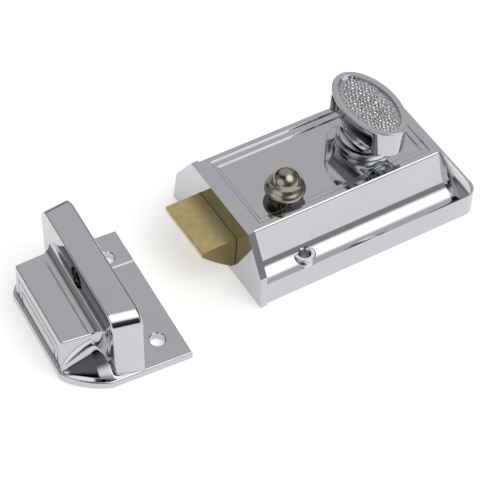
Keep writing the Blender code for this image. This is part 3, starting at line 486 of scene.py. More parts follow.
def band_form(name, inset, low, front):
    height = BAND_HEIGHT - inset
    rings = []
    for z, shrink in ((low, 0.0), (height, BAND_DRAFT)):
        half = BAND_HALF - inset - shrink
        rear = CASE_LENGTH - inset - shrink
        corner = REAR_CORNER_RADIUS - inset
        nose = max(FRONT_CORNER_RADIUS - inset, SMALLEST_CORNER)
        outline = rounded_rectangle((front, -half), (rear, half), (nose, corner, corner, nose))
        rings.append([(x, y, z) for x, y in outline])
    return add_object(name, loft_mesh(rings))


def cove_form(name, inset, low, front, run_out=None):
    sharp = side_profile(inset)
    y_top, z_top = sharp[-1]
    half = [(sharp[0][0], low)] + rounded_profile(inset)
    outlines = [(front, half)]
    for x, height in run_out or ((PLATEAU_END - inset, z_top),):
        lowered = half
        if height < z_top:
            y = y_top + (z_top - height) * math.tan(FACE_LEAN)
            kept = len(sharp)
            lowered = half[:kept] + [(y - RUN_OUT_SPACING * i, height) for i in range(len(half) - kept)]
        outlines.append((x, lowered))
    return add_object(name, loft_mesh([[(x, y, z) for y, z in mirrored(outline)] for x, outline in outlines]))


def end_form(name, inset, low, half):
    plateau = side_profile(inset)[-1]
    height = BAND_HEIGHT - inset
    corner = REAR_CORNER_RADIUS - inset
    rear = END_BLOCK_TOP_END - inset
    points = []
    for side in (-1, 1):
        points.append((PLATEAU_END - inset, side * plateau[0], plateau[1]))
        points.append((PLATEAU_END - 2 * inset - PAST, side * plateau[0], plateau[1]))
        points.append((END_BLOCK_START - 2 * inset, side * half, height))
        for x, y in arc((rear - corner, half - corner), corner, 0.0, 0.5 * math.pi, 10):
            points.append((x, side * y, height))
            points.append((x, side * y, low))
        points.append((END_BLOCK_START - 2 * inset, side * half, low))
    return hull(name, points)


def panel_form():
    """What is cut away to sink the plateau's panel: two rounded steps with a sloping ledge between."""
    outer, inner = PANEL_STEPS
    break_out, break_depth = PANEL_BREAK
    rim = -PANEL_SLOPE_HALF - break_out
    rings = [(outer, rim, -PAST), (outer, rim, -break_depth)]
    steps = 8
    for step, start in ((outer, 0.0), (inner, PANEL_STEP_DEPTH + PANEL_LEDGE_DROP)):
        for i in range(steps + 1):
            t = i / steps
            rings.append((step, (2 * t - 1) * PANEL_SLOPE_HALF, start + PANEL_STEP_DEPTH * smooth_step(t)))
    loops = []
    for (low_x, high_x, half_y), inward, fall in rings:
        x0, x1, y = low_x + inward, high_x - inward, half_y - inward
        loops.append([(a, b, CASE_HEIGHT - fall) for a, b in ((x0, -y), (x1, -y), (x1, y), (x0, y))])
    return add_object("panel_form", loft_mesh(loops))


def case_outside():
    case = band_form("case_shell", 0.0, 0.0, 0.0)
    rib = prism("rib_form", mirrored(list(RIB_HALF_WIDTHS)), 0.0, RIB_THICKNESS, "X")
    middle = cove_form("cove_form", 0.0, OVERLAP_LOW, OVERLAP_FRONT, RUN_OUT)
    rear = end_form("end_form", 0.0, OVERLAP_LOW, BAND_HALF - BAND_DRAFT)
    combine(case, [middle, rear, rib], "UNION")
    tidy_faces(case)
    soften(case, CASE_EDGE, 3)
    radius, top, edge = SCREW_BOSS_RADIUS, SCREW_BOSS_TOP, SCREW_BOSS_EDGE
    profile = [(radius, OVERLAP_LOW), (radius, top - edge)]
    profile += arc((radius - edge, top - edge), edge, 0.0, 0.5 * math.pi, 5)[1:]
    bosses = [turned("boss", profile, (SCREW_BOSS[0], sign * SCREW_BOSS[1]), 64) for sign in (-1, 1)]
    return combine(case, bosses, "UNION")


def hollow_case(case):
    """Hollows the case from its back, and stands the spring wall, screw pillars and posts inside."""
    hollows = [
        band_form("band_hollow", WALL, -PAST, FRONT_WALL),
        cove_form("cove_hollow", WALL, -PAST, FRONT_WALL),
        end_form("end_hollow", WALL, -PAST, END_HOLLOW_HALF),
    ]
    combine(case, hollows, "DIFFERENCE")
    x0, x1, half_y, low = SPRING_WALL
    inside = [box("spring_wall", (x0, -half_y, low), (x1, half_y, CASE_HEIGHT - 0.5 * WALL))]
    for sign in (-1, 1):
        centre = (SCREW_BOSS[0], sign * SCREW_BOSS[1])
        inside.append(cylinder("pillar", centre, SCREW_BOSS_RADIUS, 0.0, PILLAR_TOP))
        for x, y, top in POSTS:
            inside.append(cylinder("post", (x, sign * y), POST_RADIUS, POST_LOW, top, 32))
    return combine(case, inside, "UNION")


def open_case(case):
    """Cuts the panel, the bolt's window, the screw holes, the bush's hole and the snib's slot."""
    half_y, low, high = BOLT_WINDOW
    cuts = [panel_form(), box("bolt_window", (-PAST, -half_y, low), (FRONT_WALL + PAST, half_y, high))]
    for sign in (-1, 1):
        centre = (SCREW_BOSS[0], sign * SCREW_BOSS[1])
        cuts.append(chamfered_hole("screw_hole", centre, SCREW_HOLE_RADIUS, SCREW_BOSS_TOP,
                                   SCREW_HOLE_CHAMFER))
        for x, y, _ in POSTS:
            cuts.append(cylinder("post_hole", (x, sign * y), POST_HOLE_RADIUS, 0.0, POST_HOLE_TOP, 24))
    under, over = CASE_HEIGHT - 2 * WALL, CASE_HEIGHT + PAST
    slot = slot_outline((SNIB_X, SNIB_SLOT_Y), *SNIB_SLOT_HALF)
    cuts.append(cylinder("bush_hole", (KNOB_X, 0.0), BUSH_NECK_RADIUS + BUSH_CLEARANCE, under, over))
    cuts.append(prism("snib_slot", slot, under, over))
    return combine(case, cuts, "DIFFERENCE")


def make_case(material):
    case = case_outside()
    hollow_case(case)
    open_case(case)
    shade(case)
    return place(case, material, "case", ["case_body"])


# ---------------------------------------------------------------- bolt and its springs

def bolt_outline():
    """The bolt from its side, as (X, Z): flat on top, with a long bevel underneath."""
    tip = -BOLT_THROW
    edge = BOLT_TIP_EDGE
    outline = [(BOLT_REAR, BOLT_HIGH), (tip + edge, BOLT_HIGH), (tip, BOLT_HIGH - edge)]
    start = (tip, BOLT_HIGH - BOLT_NOSE)
    end = (BOLT_BEVEL_END, BOLT_LOW)
    run = (end[0] - start[0], end[1] - start[1])
    length = math.hypot(*run)
    outward = (run[1] / length, -run[0] / length)
    steps = 16
    for i in range(steps + 1):
        t = i / steps
        bulge = BOLT_BEVEL_BULGE * 4 * t * (1 - t)
        x = start[0] + run[0] * t + outward[0] * bulge
        z = start[1] + run[1] * t + outward[1] * bulge
        outline.append((x, z))
    step_x, step_z = TAIL_STEP
    return outline + [(step_x, BOLT_LOW), (step_x, step_z), (BOLT_REAR, step_z)]


def make_bolt(material):
    bolt = prism("bolt_casting", bolt_outline(), -BOLT_HALF, BOLT_HALF, "Y")
    soften(bolt, BOLT_EDGE, 2, 30.0)
    radius, end = SPRING_BORE
    cuts = []
    for y in (-SPRING_Y, SPRING_Y):
        cuts.append(cylinder("spring_bore", (y, SPRING_Z), radius, end, BOLT_REAR + PAST, 48, "X"))
    for place_xy in RIVET_PLACES:
        cuts.append(cylinder("rivet_hole", place_xy, RIVET_HOLE_RADIUS, TAIL_STEP[1] - PAST,
                             RIVET_HOLE_TOP, 32))
    combine(bolt, cuts, "DIFFERENCE")
    shade(bolt)
    return place(bolt, material, "bolt", ["latch_bolt"])


def make_springs(material):
    """Open coils, one on each side of the centre line."""
    start, end = SPRING_RUN
    per_turn, sides = 28, 10
    steps = SPRING_TURNS * per_turn
    for number, y in enumerate((-SPRING_Y, SPRING_Y), 1):
        rings = []
        for i in range(steps + 1):
            angle = 2 * math.pi * i / per_turn
            along = start + (end - start) * i / steps
            ring = []
            for k in range(sides):
                turn = 2 * math.pi * k / sides
                radius = SPRING_COIL_RADIUS + SPRING_WIRE_RADIUS * math.cos(turn)
                ring.append((along + SPRING_WIRE_RADIUS * math.sin(turn), y + radius * math.cos(angle),
                             SPRING_Z + radius * math.sin(angle)))
            rings.append(ring)
        spring = add_object(f"coil_spring_{number}", loft_mesh(rings))
        spring.data.shade_smooth()
        place(spring, material, "case", [f"bolt_spring_{number}"])
        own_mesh(spring)


# ---------------------------------------------------------------- knob and bush

def oval(half_long, half_short, inset=0.0, scoop=0.0):
    """Points round the knob's oval, set in along its normal and pressed in by the scoops."""
    start, end = SCOOP_EDGE
    points = []
    for i in range(KNOB_SIDES):
        angle = 2 * math.pi * i / KNOB_SIDES
        cos, sin = math.cos(angle), math.sin(angle)
        x, y = half_short * cos, half_long * sin
        nx, ny = cos / half_short, sin / half_long
        length = math.hypot(nx, ny)
        x -= inset * nx / length
        y -= inset * ny / length
        window = 1 - smooth_step((abs(y) / KNOB_HALF_LONG - start) / (end - start))
        points.append((x * (1 - scoop * window), y))
    return points


def through(keys, steps):
    """A smooth curve through rows of numbers, as a Catmull-Rom spline."""
    rows = [np.array(key) for key in keys]
    rows = [2 * rows[0] - rows[1]] + rows + [2 * rows[-1] - rows[-2]]
    made = []
    for a, b, c, d in zip(rows, rows[1:], rows[2:], rows[3:]):
        for i in range(steps):
            t = i / steps
            made.append(0.5 * (2 * b + (c - a) * t + (2 * a - 5 * b + 4 * c - d) * t ** 2
                               + (3 * b - a - 3 * c + d) * t ** 3))
    return made + [rows[-2]]


def pebbles(points):
    """Height of a field of small domes, packed close together at uneven places."""
    rng = np.random.default_rng(PEBBLE_SEED)
    pitch = PEBBLE_PITCH
    jitter = PEBBLE_JITTER * pitch
    centres = []
    for row in range(-PEBBLE_ROWS, PEBBLE_ROWS + 1):
        for column in range(-PEBBLE_COLUMNS, PEBBLE_COLUMNS + 1):
            centres.append(((column + 0.5 * (row % 2)) * pitch, row * pitch * PEBBLE_ROW_SPACING))
    centres = np.array(centres) + rng.uniform(-jitter, jitter, (len(centres), 2))
    heights = []
    for point in points:
        near = np.sort(np.hypot(centres[:, 0] - point[0], centres[:, 1] - point[1]))[:2] / pitch
        dome = 1 - PEBBLE_FALL * near[0] ** 2
        valley = 1 - math.exp(-PEBBLE_VALLEY * (near[1] - near[0]))
        heights.append(PEBBLE_HEIGHT * max(dome, 0.0) * valley)
    return heights


def knob_rings():
    """Every ring of the knob, from the bore's end down, out and up to the panel."""
    rings = []

    def level(points, z):
        rings.append([(x, y, z) for x, y in points])

    radius, bore_top = KNOB_BORE
    level(oval(radius, radius), bore_top)
    level(oval(radius, radius), KNOB_FOOT)
    foot, edge = KNOB_FOOT_RADIUS, KNOB_EDGE
    for inset, z in corner_arc((edge, KNOB_FOOT + edge), edge, 270.0, clockwise=True):
        level(oval(foot, foot, inset), z)
    for z, half_long, half_short, scoop in through(KNOB_NECK, 5):
        level(oval(half_long, half_short, 0.0, scoop), z)
    low = KNOB_HEAD_LOW
    for drop, half_long, half_short, scoop in KNOB_MOULDING:
        level(oval(half_long, half_short, 0.0, scoop), low - drop)
    long, short = KNOB_HALF_LONG, KNOB_HALF_SHORT
    for inset, z in corner_arc((edge, low + edge), edge, 270.0, clockwise=True):
        level(oval(long, short, inset, KNOB_SCOOP), z)
    steps = 32
    for i in range(1, steps + 1):
        t = i / steps
        level(oval(long, short, 0.0, KNOB_SCOOP * (1 - t ** SCOOP_CURVE)), low + edge + t * SCOOP_REACH)
    edge = KNOB_TOP_EDGE
    for inset, z in corner_arc((edge, KNOB_TOP - edge), edge, 180.0, clockwise=True):
        level(oval(long, short, inset), z)
    edge = KNOB_EDGE
    for inset, z in corner_arc((KNOB_RIM - edge, KNOB_TOP - edge), edge, 90.0, clockwise=True):
        level(oval(long, short, inset), z)
    floor = KNOB_TOP - KNOB_RECESS
    level(oval(long, short, KNOB_RIM), floor + KNOB_PANEL_FILLET)
    return rings, floor


def make_knob(material):
    rings, floor = knob_rings()
    edge = oval(KNOB_HALF_LONG, KNOB_HALF_SHORT, KNOB_RIM + 0.5 * KNOB_PANEL_FILLET)
    for i in range(PEBBLE_RINGS):
        share = 1 - i / PEBBLE_RINGS
        points = [(x * share, y * share) for x, y in edge]
        fade = smooth_step(i / PEBBLE_FADE_RINGS)
        rings.append([(x, y, floor + fade * rise) for (x, y), rise in zip(points, pebbles(points))])
    knob = add_object("knob_casting", loft_mesh(rings))
    shade(knob, KNOB_SHARP)
    matrix = Matrix.Translation(DATUM + Vector((KNOB_X, 0.0, 0.0))) @ Matrix.Rotation(KNOB_TURN, 4, "Z")
    return place(knob, material, "knob", ["turn_knob"], matrix)


def make_bush(material):
    edge = BUSH_EDGE
    bore, neck, low = BUSH_BORE_RADIUS, BUSH_NECK_RADIUS, BUSH_LOW
    profile = [(bore, low), (neck - edge, low), (neck, low + edge), (neck, BUSH_SEAT)]
    profile += corner_arc((BUSH_RADIUS - edge, BUSH_SEAT + edge), edge, 270.0)
    profile += corner_arc((BUSH_RADIUS - edge, BUSH_TOP - edge), edge, 0.0)
    profile += [(bore + edge, BUSH_TOP), (bore, BUSH_TOP - edge), (bore, low)]
    rings = [[(x, y, z) for x, y in circle((KNOB_X, 0.0), radius, 128)] for radius, z in profile]
    bm = loft_mesh(rings, capped=False)
    bmesh.ops.remove_doubles(bm, verts=bm.verts, dist=1e-7)
    bush = add_object("bush_ring", bm)
    shade(bush)
    return place(bush, material, "case", ["knob_bush"])


# ---------------------------------------------------------------- snib

def make_snib(material):
    """A bell: a round dome that spreads into a skirt."""
    radius, socket_top = SNIB_SOCKET
    skirt, edge = SNIB_BELL[0][0], SNIB_EDGE
    profile = [(radius, socket_top), (radius, SNIB_LOW)]
    profile += corner_arc((skirt - edge, SNIB_LOW + edge), edge, 270.0)[:-1]
    profile += [tuple(row) for row in through(SNIB_BELL, 5)]
    profile += arc((0.0, SNIB_DOME_Z), SNIB_DOME_RADIUS, *SNIB_DOME_ARC, 36)
    snib = turned("snib_knob", profile, (SNIB_X, SNIB_Y), 128)
    shade(snib)
    return place(snib, material, "snib", ["snib_button"])


# ---------------------------------------------------------------- staple

def staple_outline(inset=0.0):
    near = [(STAPLE_LEFT + inset, STAPLE_LEFT_HALF)]
    corner = (STAPLE_SHOULDER, STAPLE_HALF - inset)
    steps = 24
    for i in range(1, steps + 1):
        angle = 0.5 * math.pi * i / steps
        u = STAPLE_LEFT + inset + (corner[0] - STAPLE_LEFT - inset) * (1 - math.cos(angle) ** STAPLE_BULGE)
        near.append((u, STAPLE_LEFT_HALF + (corner[1] - STAPLE_LEFT_HALF) * math.sin(angle) ** STAPLE_BULGE))
    half = near + [(STAPLE_FLANGE - inset, STAPLE_HALF - inset)]
    return half + [(u, -v) for u, v in reversed(half)]


def staple_plate():
    """The foot, with its upper and lower edges rounded."""
    rings = []
    low_edge, edge = STAPLE_LOW_EDGE, STAPLE_EDGE
    upper = corner_arc((edge, STAPLE_PLATE - edge), edge, 180.0, clockwise=True)
    for inset, z in [(low_edge, 0.0), (0.0, low_edge)] + upper:
        rings.append([(u, v, z) for u, v in staple_outline(inset)])
    return add_object("staple_casting", loft_mesh(rings))


def wall_section(u, side_inset, top_inset):
    """The wall's outline at one station, as 3-D points: it leans back as it rises."""
    share = (u + STAPLE_WALL) / STAPLE_WALL
    half = STAPLE_HALF - STAPLE_WALL_DRAFT * (1 - share) - side_inset
    top = STAPLE_HEIGHT - top_inset
    radius = STAPLE_CORNER_RADIUS
    flat = STAPLE_LOW_CORNER
    outline = rounded_rectangle((-half, 0.0), (half, top), (flat, flat, radius, radius), 14)
    return [(u + STAPLE_WALL_LEAN * (1 - z / STAPLE_HEIGHT), v, z) for v, z in outline]


def staple_wall():
    rings = []
    edge, soft, side = STAPLE_WALL_EDGE, STAPLE_WALL_SOFT, STAPLE_SIDE_SOFT
    for back, inset in corner_arc((edge, edge), edge, 270.0, 5, clockwise=True):
        rings.append(wall_section(-STAPLE_WALL + inset, back, back))
    steps = 14
    for i in range(steps + 1):
        angle = 0.5 * math.pi * i / steps
        u = -soft * (1 - math.sin(angle))
        top_inset = soft * (1 - math.cos(angle)) * STAPLE_SOFT_DROP
        near = max(0.0, (u + side) / side)
        side_inset = side * (1 - math.sqrt(max(0.0, 1 - near * near)))
        rings.append(wall_section(u, side_inset, top_inset))
    return add_object("staple_wall_form", loft_mesh(rings))


def box_section(u, half_width, cove_top, cove_foot, height=BOX_HEIGHT, inset=0.0):
    """One section of the box: its hollow foot meets the face at an angle, cut across by the side fillet."""
    rise = cove_top - STAPLE_PLATE
    reach = cove_foot - min(half_width, BOX_ENDS[1][1])
    start, end = BOX_FOOT_ARC
    half = [(cove_foot - inset, BOX_LOW)]
    steps = 24
    for i in range(steps + 1):
        angle = start + (end - start) * i / steps
        across = (math.sin(angle) - math.sin(start)) / (math.sin(end) - math.sin(start))
        down = (math.cos(angle) - math.cos(end)) / (math.cos(start) - math.cos(end))
        half.append((max(cove_foot - reach * across, half_width) - inset, cove_top - rise * down))
    edge, top = BOX_EDGE, height - inset
    half += corner_arc((half_width - inset - edge, top - edge), edge, 0.0)
    return [(u, v, z) for v, z in mirrored(half)]


def staple_box():
    """The box, sweeping up and outward into the wall through hollow fillets."""
    rings = []
    edge = BOX_EDGE
    first, last = (np.array(row) for row in BOX_ENDS)
    for back, along in corner_arc((edge, edge), edge, 270.0, 4, clockwise=True):
        rings.append(box_section(first[0] + along, *first[1:], inset=back))
    steps = 8
    for i in range(1, steps + 1):
        t = i / steps
        row = first + (last - first) * t
        rings.append(box_section(max(row[0], first[0] + 1.2 * edge), *row[1:]))
    steps = 18
    reach = math.radians(86)
    for i in range(1, steps + 1):
        angle = reach * i / steps
        sweep = math.sin(angle)
        u = last[0] + BOX_FILLET * sweep
        top = last[2] + (BOX_FOOT_AT_WALL[0] - last[2]) * sweep
        foot = last[3] + (BOX_FOOT_AT_WALL[1] - last[3]) * sweep
        half = last[1] + BOX_SIDE_FILLET * (1 - math.cos(angle))
        rings.append(box_section(u, half, top, foot, BOX_HEIGHT + BOX_FILLET * (1 - math.cos(angle))))
    rings.append([(-0.5 * STAPLE_WALL, v, z) for _, v, z in rings[-1]])
    return add_object("staple_box_form", loft_mesh(rings))


def box_groove(height, half_length):
    """A channel over the box's end face: up one side, along and down the other."""
    section = (
        (GROOVE_MOUTH, GROOVE_OUT),
        (GROOVE_FLOOR, GROOVE_DEPTH),
        (-GROOVE_FLOOR, GROOVE_DEPTH),
        (-GROOVE_MOUTH, GROOVE_OUT),
    )
    stations = (
        (-half_length, GROOVE_LOW, -1, 0),
        (-half_length, height, -1, 1),
        (half_length, height, 1, 1),
        (half_length, GROOVE_LOW, 1, 0),
    )
    rings = []
    for v, z, sv, sz in stations:
        rings.append([(BOX_LEFT + into, v + sv * out, z + sz * out) for out, into in section])
    return add_object("box_groove", loft_mesh(rings))


def make_staple(material):
    staple = staple_plate()
    inside = prism("staple_outline_form", staple_outline(STAPLE_EDGE), -PAST, STAPLE_HEIGHT)
    box_form = staple_box()
    combine(box_form, [inside], "INTERSECT")
    combine(staple, [box_form, staple_wall()], "UNION")
    cuts = [box_groove(*groove) for groove in BOX_GROOVES]
    low_v = -STAPLE_HALF + PAD_LENGTH
    low_corner = (PAD_START, low_v, STAPLE_PLATE - PAD_STEP)
    high_corner = (STAPLE_FLANGE + PAST, -low_v, STAPLE_PLATE + PAST)
    cuts.append(box("flange_step", low_corner, high_corner))
    for sign in (-1, 1):
        centre = (FLANGE_HOLE[0], sign * FLANGE_HOLE[1])
        cuts.append(chamfered_hole("flange_hole", centre, FLANGE_HOLE_RADIUS, STAPLE_PLATE,
                                   FLANGE_HOLE_CHAMFER))
    cuts.append(box("pocket", (POCKET[0], -POCKET_HALF, -PAST), (POCKET[1], POCKET_HALF, POCKET_HEIGHT)))
    cuts.append(cylinder("wall_hole", (0.0, WALL_HOLE_Z), WALL_HOLE_RADIUS, BOX_LEFT, WALL_HOLE_END, 48, "X"))
    radius, seat = WALL_COUNTERBORE
    cuts.append(cylinder("counterbore", (0.0, WALL_HOLE_Z), radius, BOX_LEFT, seat, 64, "X"))
    combine(staple, cuts, "DIFFERENCE")
    shade(staple)
    matrix = Matrix.Translation(DATUM + STAPLE_ORIGIN) @ Matrix.Rotation(STAPLE_YAW, 4, "Z")
    return place(staple, material, "staple", ["staple_body"], matrix)


# ---------------------------------------------------------------- materials

EVEN = (1.0, 1.0, 1.0)
ROLLED = (1.0, 6.0, 1.0)

# Each metal: the two colours that it drifts between, its range of roughness, the scales of the drift and of
# the grain in waves a metre, the grain's depth, and how the grain is stretched
METALS = {
    "chrome_plating": ((0.57, 0.578, 0.597), (0.545, 0.552, 0.57), (0.05, 0.075), 45.0, 90.0, 0.00002, EVEN),
    "satin_brass": ((0.64, 0.54, 0.27), (0.54, 0.45, 0.21), (0.30, 0.40), 400.0, 1800.0, 0.00006, EVEN),
    "pearl_nickel": ((0.37, 0.34, 0.28), (0.32, 0.30, 0.25), (0.18, 0.24), 120.0, 300.0, 0.00001, EVEN),
    "plated_steel": ((0.60, 0.60, 0.57), (0.50, 0.50, 0.47), (0.28, 0.42), 150.0, 700.0, 0.00002, ROLLED),
    "spring_steel": ((0.42, 0.42, 0.43), (0.34, 0.34, 0.36), (0.22, 0.34), 300.0, 1500.0, 0.00001, EVEN),
}
# Darker brass, painted on the bolt's sides as shade
SIDE_SHADE_BRASS = (0.24, 0.19, 0.085)


def node_material(name, color, metallic, roughness):
    material = bpy.data.materials.new(name)
    material.use_nodes = True
    tree = material.node_tree
    shader = tree.nodes["Principled BSDF"]
    shader.inputs["Base Color"].default_value = (*color, 1.0)
    shader.inputs["Metallic"].default_value = metallic
    shader.inputs["Roughness"].default_value = roughness
    return material, tree, shader


def noise_value(tree, scale, detail=2.0, stretch=EVEN):
    """Noise over the object's own coordinates; the scale is in waves a metre."""
    coordinates = tree.nodes.new("ShaderNodeTexCoord")
    mapping = tree.nodes.new("ShaderNodeMapping")
    mapping.inputs["Scale"].default_value = stretch
    noise = tree.nodes.new("ShaderNodeTexNoise")
    noise.inputs["Scale"].default_value = scale
    noise.inputs["Detail"].default_value = detail
    tree.links.new(coordinates.outputs["Object"], mapping.inputs["Vector"])
    tree.links.new(mapping.outputs["Vector"], noise.inputs["Vector"])
    return noise.outputs["Fac"]


def spread(tree, value, low, high):
    ramp = tree.nodes.new("ShaderNodeMapRange")
    ramp.inputs["From Min"].default_value = 0.3
    ramp.inputs["From Max"].default_value = 0.7
    ramp.inputs["To Min"].default_value = low
    ramp.inputs["To Max"].default_value = high
    tree.links.new(value, ramp.inputs["Value"])
    return ramp.outputs["Result"]


def mottle(tree, shader, value, first, second):
    mix = tree.nodes.new("ShaderNodeMix")
    mix.data_type = "RGBA"
    mix.inputs["A"].default_value = (*first, 1.0)
    mix.inputs["B"].default_value = (*second, 1.0)
    tree.links.new(spread(tree, value, 0.0, 1.0), mix.inputs["Factor"])
    tree.links.new(mix.outputs["Result"], shader.inputs["Base Color"])


def rough_grain(tree, shader, value, distance):
    bump = tree.nodes.new("ShaderNodeBump")
    bump.inputs["Distance"].default_value = distance
    bump.inputs["Strength"].default_value = 1.0
    tree.links.new(value, bump.inputs["Height"])
    tree.links.new(bump.outputs["Normal"], shader.inputs["Normal"])


def metal(name):
    """A metal whose colour and roughness drift a little, with a fine grain in its surface."""
    first, second, roughness, colour_scale, grain_scale, grain, stretch = METALS[name]
    material, tree, shader = node_material(name, first, 1.0, roughness[0])
    drift = noise_value(tree, colour_scale, 3.0)
    mottle(tree, shader, drift, first, second)
    tree.links.new(spread(tree, drift, *roughness), shader.inputs["Roughness"])
    rough_grain(tree, shader, noise_value(tree, grain_scale, 2.0, stretch), grain)
    return material


def brass_with_side_shade():
    """Grainy cast brass on the face, with painted shade darkening the flanks."""
    material = metal("satin_brass")
    tree = material.node_tree
    shader = tree.nodes["Principled BSDF"]
    cast = shader.inputs["Base Color"].links[0].from_socket
    # Painted shade: faces turned along Y, the bolt's sides, are mixed towards the darker brass
    coordinates = tree.nodes.new("ShaderNodeTexCoord")
    split = tree.nodes.new("ShaderNodeSeparateXYZ")
    size = tree.nodes.new("ShaderNodeMath")
    size.operation = "ABSOLUTE"
    mix = tree.nodes.new("ShaderNodeMix")
    mix.data_type = "RGBA"
    mix.inputs["B"].default_value = (*SIDE_SHADE_BRASS, 1.0)
    tree.links.new(coordinates.outputs["Normal"], split.inputs["Vector"])
    tree.links.new(split.outputs["Y"], size.inputs[0])
    tree.links.new(size.outputs[0], mix.inputs["Factor"])
    tree.links.new(cast, mix.inputs["A"])
    tree.links.new(mix.outputs["Result"], shader.inputs["Base Color"])
    return material


def make_materials():
    """One material for each slot in the record."""
    return {
        "chrome": metal("chrome_plating"),
        "satin_brass": brass_with_side_shade(),
        "pearl_nickel": metal("pearl_nickel"),
        "plated_steel": metal("plated_steel"),
        "spring_steel": metal("spring_steel"),
    }


# ---------------------------------------------------------------- camera, floor and light

CAMERA_AZIMUTH, CAMERA_ELEVATION, CAMERA_ROLL = (math.radians(v) for v in (-34.97, 49.03, 4.37))
CAMERA_TARGET = DATUM + Vector((0.01036, -0.00529, 0.0))
CAMERA_DISTANCE = 0.7316
CAMERA_LENS = 153.6
CAMERA_SENSOR = 36.0
FLOOR_HALF = 3.0
FLOOR_DROP = 0.0001
FLOOR_WHITE = (0.88, 0.88, 0.88)
FLOOR_FAR_SHADE = (0.55, 0.55, 0.56)
# The distances between which the floor falls away to a painted grey shade, and its painted glow of light
# within the first and past the second
FLOOR_FADE = (0.18, 0.50)
FLOOR_GLOW = (0.48, 0.10)
PAPER_GRAIN = (600.0, 0.00001)

# Each bright area of the room: its direction, half its width in degrees, its soft edge, and its radiance
STUDIO = (
    ((0.0, 0.0, 1.0), 200.0, 1.0, 0.065),
    ((0.30, 0.55, 0.75), 38.0, 14.0, 0.64),
    ((0.25, -0.47, 0.80), 20.0, 16.0, 2.3),
    ((0.55, -0.83, 0.10), 20.0, 18.0, 0.34),
    ((-0.80, 0.50, 0.25), 24.0, 12.0, 0.30),
    ((-0.9, -0.2, 0.35), 25.0, 10.0, 1.0),
    ((-0.50, -0.70, 0.45), 24.0, 16.0, 0.15),
    ((0.90, -0.10, 0.45), 26.0, 16.0, 0.18),
)


def make_camera():
    a, e, r = CAMERA_AZIMUTH, CAMERA_ELEVATION, CAMERA_ROLL
    back = Vector((math.sin(a) * math.cos(e), -math.cos(a) * math.cos(e), math.sin(e)))
    right = Vector((math.cos(a), math.sin(a), 0.0))
    up = back.cross(right)
    turned_right = math.cos(r) * right + math.sin(r) * up
    turned_up = -math.sin(r) * right + math.cos(r) * up
    data = bpy.data.cameras.new("camera")
    data.lens = CAMERA_LENS
    data.sensor_width = CAMERA_SENSOR
    camera = bpy.data.objects.new("camera", data)
    matrix = Matrix((turned_right, turned_up, back)).transposed().to_4x4()
    matrix.translation = CAMERA_TARGET + back * CAMERA_DISTANCE
    camera.matrix_world = matrix
    bpy.context.scene.collection.objects.link(camera)
    bpy.context.scene.camera = camera


def make_floor():
    """White paper that glows a little round the object, a painted glow of light, and falls away to a painted
    grey shade farther out.
    """
    material, tree, shader = node_material("floor_paper", FLOOR_WHITE, 0.0, 0.9)
    coordinates = tree.nodes.new("ShaderNodeTexCoord")
    length = tree.nodes.new("ShaderNodeVectorMath")
    length.operation = "LENGTH"
    fall = tree.nodes.new("ShaderNodeMapRange")
    fall.interpolation_type = "SMOOTHSTEP"
    fall.inputs["From Min"].default_value, fall.inputs["From Max"].default_value = FLOOR_FADE
    glow = tree.nodes.new("ShaderNodeMapRange")
    glow.inputs["To Min"].default_value, glow.inputs["To Max"].default_value = FLOOR_GLOW
    mix = tree.nodes.new("ShaderNodeMix")
    mix.data_type = "RGBA"
    mix.inputs["A"].default_value = (*FLOOR_WHITE, 1.0)
    mix.inputs["B"].default_value = (*FLOOR_FAR_SHADE, 1.0)
    tree.links.new(coordinates.outputs["Object"], length.inputs[0])
    tree.links.new(length.outputs["Value"], fall.inputs["Value"])
    # Painted shade: the paper's colour greys with distance from the object
    tree.links.new(fall.outputs["Result"], mix.inputs["Factor"])
    tree.links.new(fall.outputs["Result"], glow.inputs["Value"])
    tree.links.new(mix.outputs["Result"], shader.inputs["Base Color"])
    # Painted light: the paper glows, most strongly round the object
    tree.links.new(glow.outputs["Result"], shader.inputs["Emission Strength"])
    shader.inputs["Emission Color"].default_value = (1.0, 1.0, 1.0, 1.0)
    grain_scale, grain = PAPER_GRAIN
    rough_grain(tree, shader, noise_value(tree, grain_scale), grain)
    bm = bmesh.new()
    size = FLOOR_HALF
    corners = ((-size, -size), (size, -size), (size, size), (-size, size))
    bm.faces.new([bm.verts.new((x, y, -FLOOR_DROP)) for x, y in corners])
    floor = add_object("floor", bm)
    floor.data.materials.append(material)


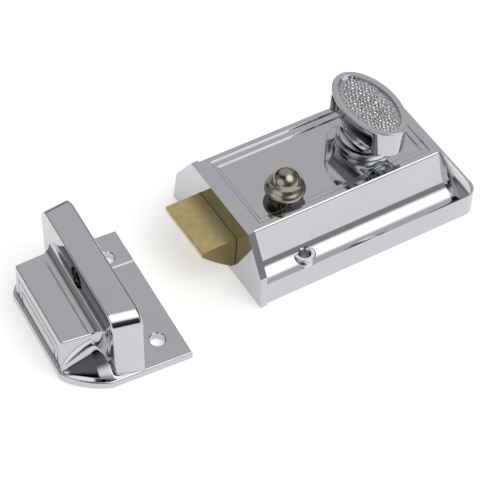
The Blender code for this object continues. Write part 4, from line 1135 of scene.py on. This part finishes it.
def make_world():
    """A studio painted by direction: a dark room round the table, bright boxes overhead and in front."""
    world = bpy.data.worlds.new("studio")
    bpy.context.scene.world = world
    world.use_nodes = True
    tree = world.node_tree
    nodes, links = tree.nodes, tree.links
    background = nodes["Background"]
    direction = nodes.new("ShaderNodeTexCoord").outputs["Generated"]

    def window(centre, half_angle, softness, strength):
        dot = nodes.new("ShaderNodeVectorMath")
        dot.operation = "DOT_PRODUCT"
        links.new(direction, dot.inputs[0])
        dot.inputs[1].default_value = Vector(centre).normalized()
        ramp = nodes.new("ShaderNodeMapRange")
        ramp.interpolation_type = "SMOOTHSTEP"
        ramp.inputs["From Min"].default_value = math.cos(math.radians(half_angle + softness))
        ramp.inputs["From Max"].default_value = math.cos(math.radians(half_angle - softness))
        ramp.inputs["To Max"].default_value = strength
        links.new(dot.outputs["Value"], ramp.inputs["Value"])
        return ramp.outputs["Result"]

    total = None
    for centre, half_angle, softness, strength in STUDIO:
        value = window(centre, half_angle, softness, strength)
        if total is None:
            total = value
            continue
        add = nodes.new("ShaderNodeMath")
        add.operation = "ADD"
        links.new(total, add.inputs[0])
        links.new(value, add.inputs[1])
        total = add.outputs[0]
    links.new(total, background.inputs["Strength"])
    background.inputs["Color"].default_value = (1.0, 1.0, 1.0, 1.0)


# ---------------------------------------------------------------- assembly

def dress_cad_nodes(materials):
    """The pieces inside keep their CAD shape and take a procedural material by their record slot."""
    slots = {part["node"]: part["material_slot"] for part in frame["record"]["subparts"]}
    for name, node in frame["nodes"].items():
        if node.hide_render:
            continue
        node.data.materials.clear()
        node.data.materials.append(materials[slots[name]])
        node.data.shade_smooth()
        node.data.set_sharp_from_angle(angle=SHARP)


def main():
    bpy.context.scene.view_settings.view_transform = "Standard"
    make_camera()
    make_floor()
    make_world()
    materials = make_materials()
    make_case(materials["chrome"])
    make_bush(materials["chrome"])
    make_knob(materials["chrome"])
    make_staple(materials["chrome"])
    make_bolt(materials["satin_brass"])
    make_snib(materials["pearl_nickel"])
    make_springs(materials["spring_steel"])
    dress_cad_nodes(materials)


main()
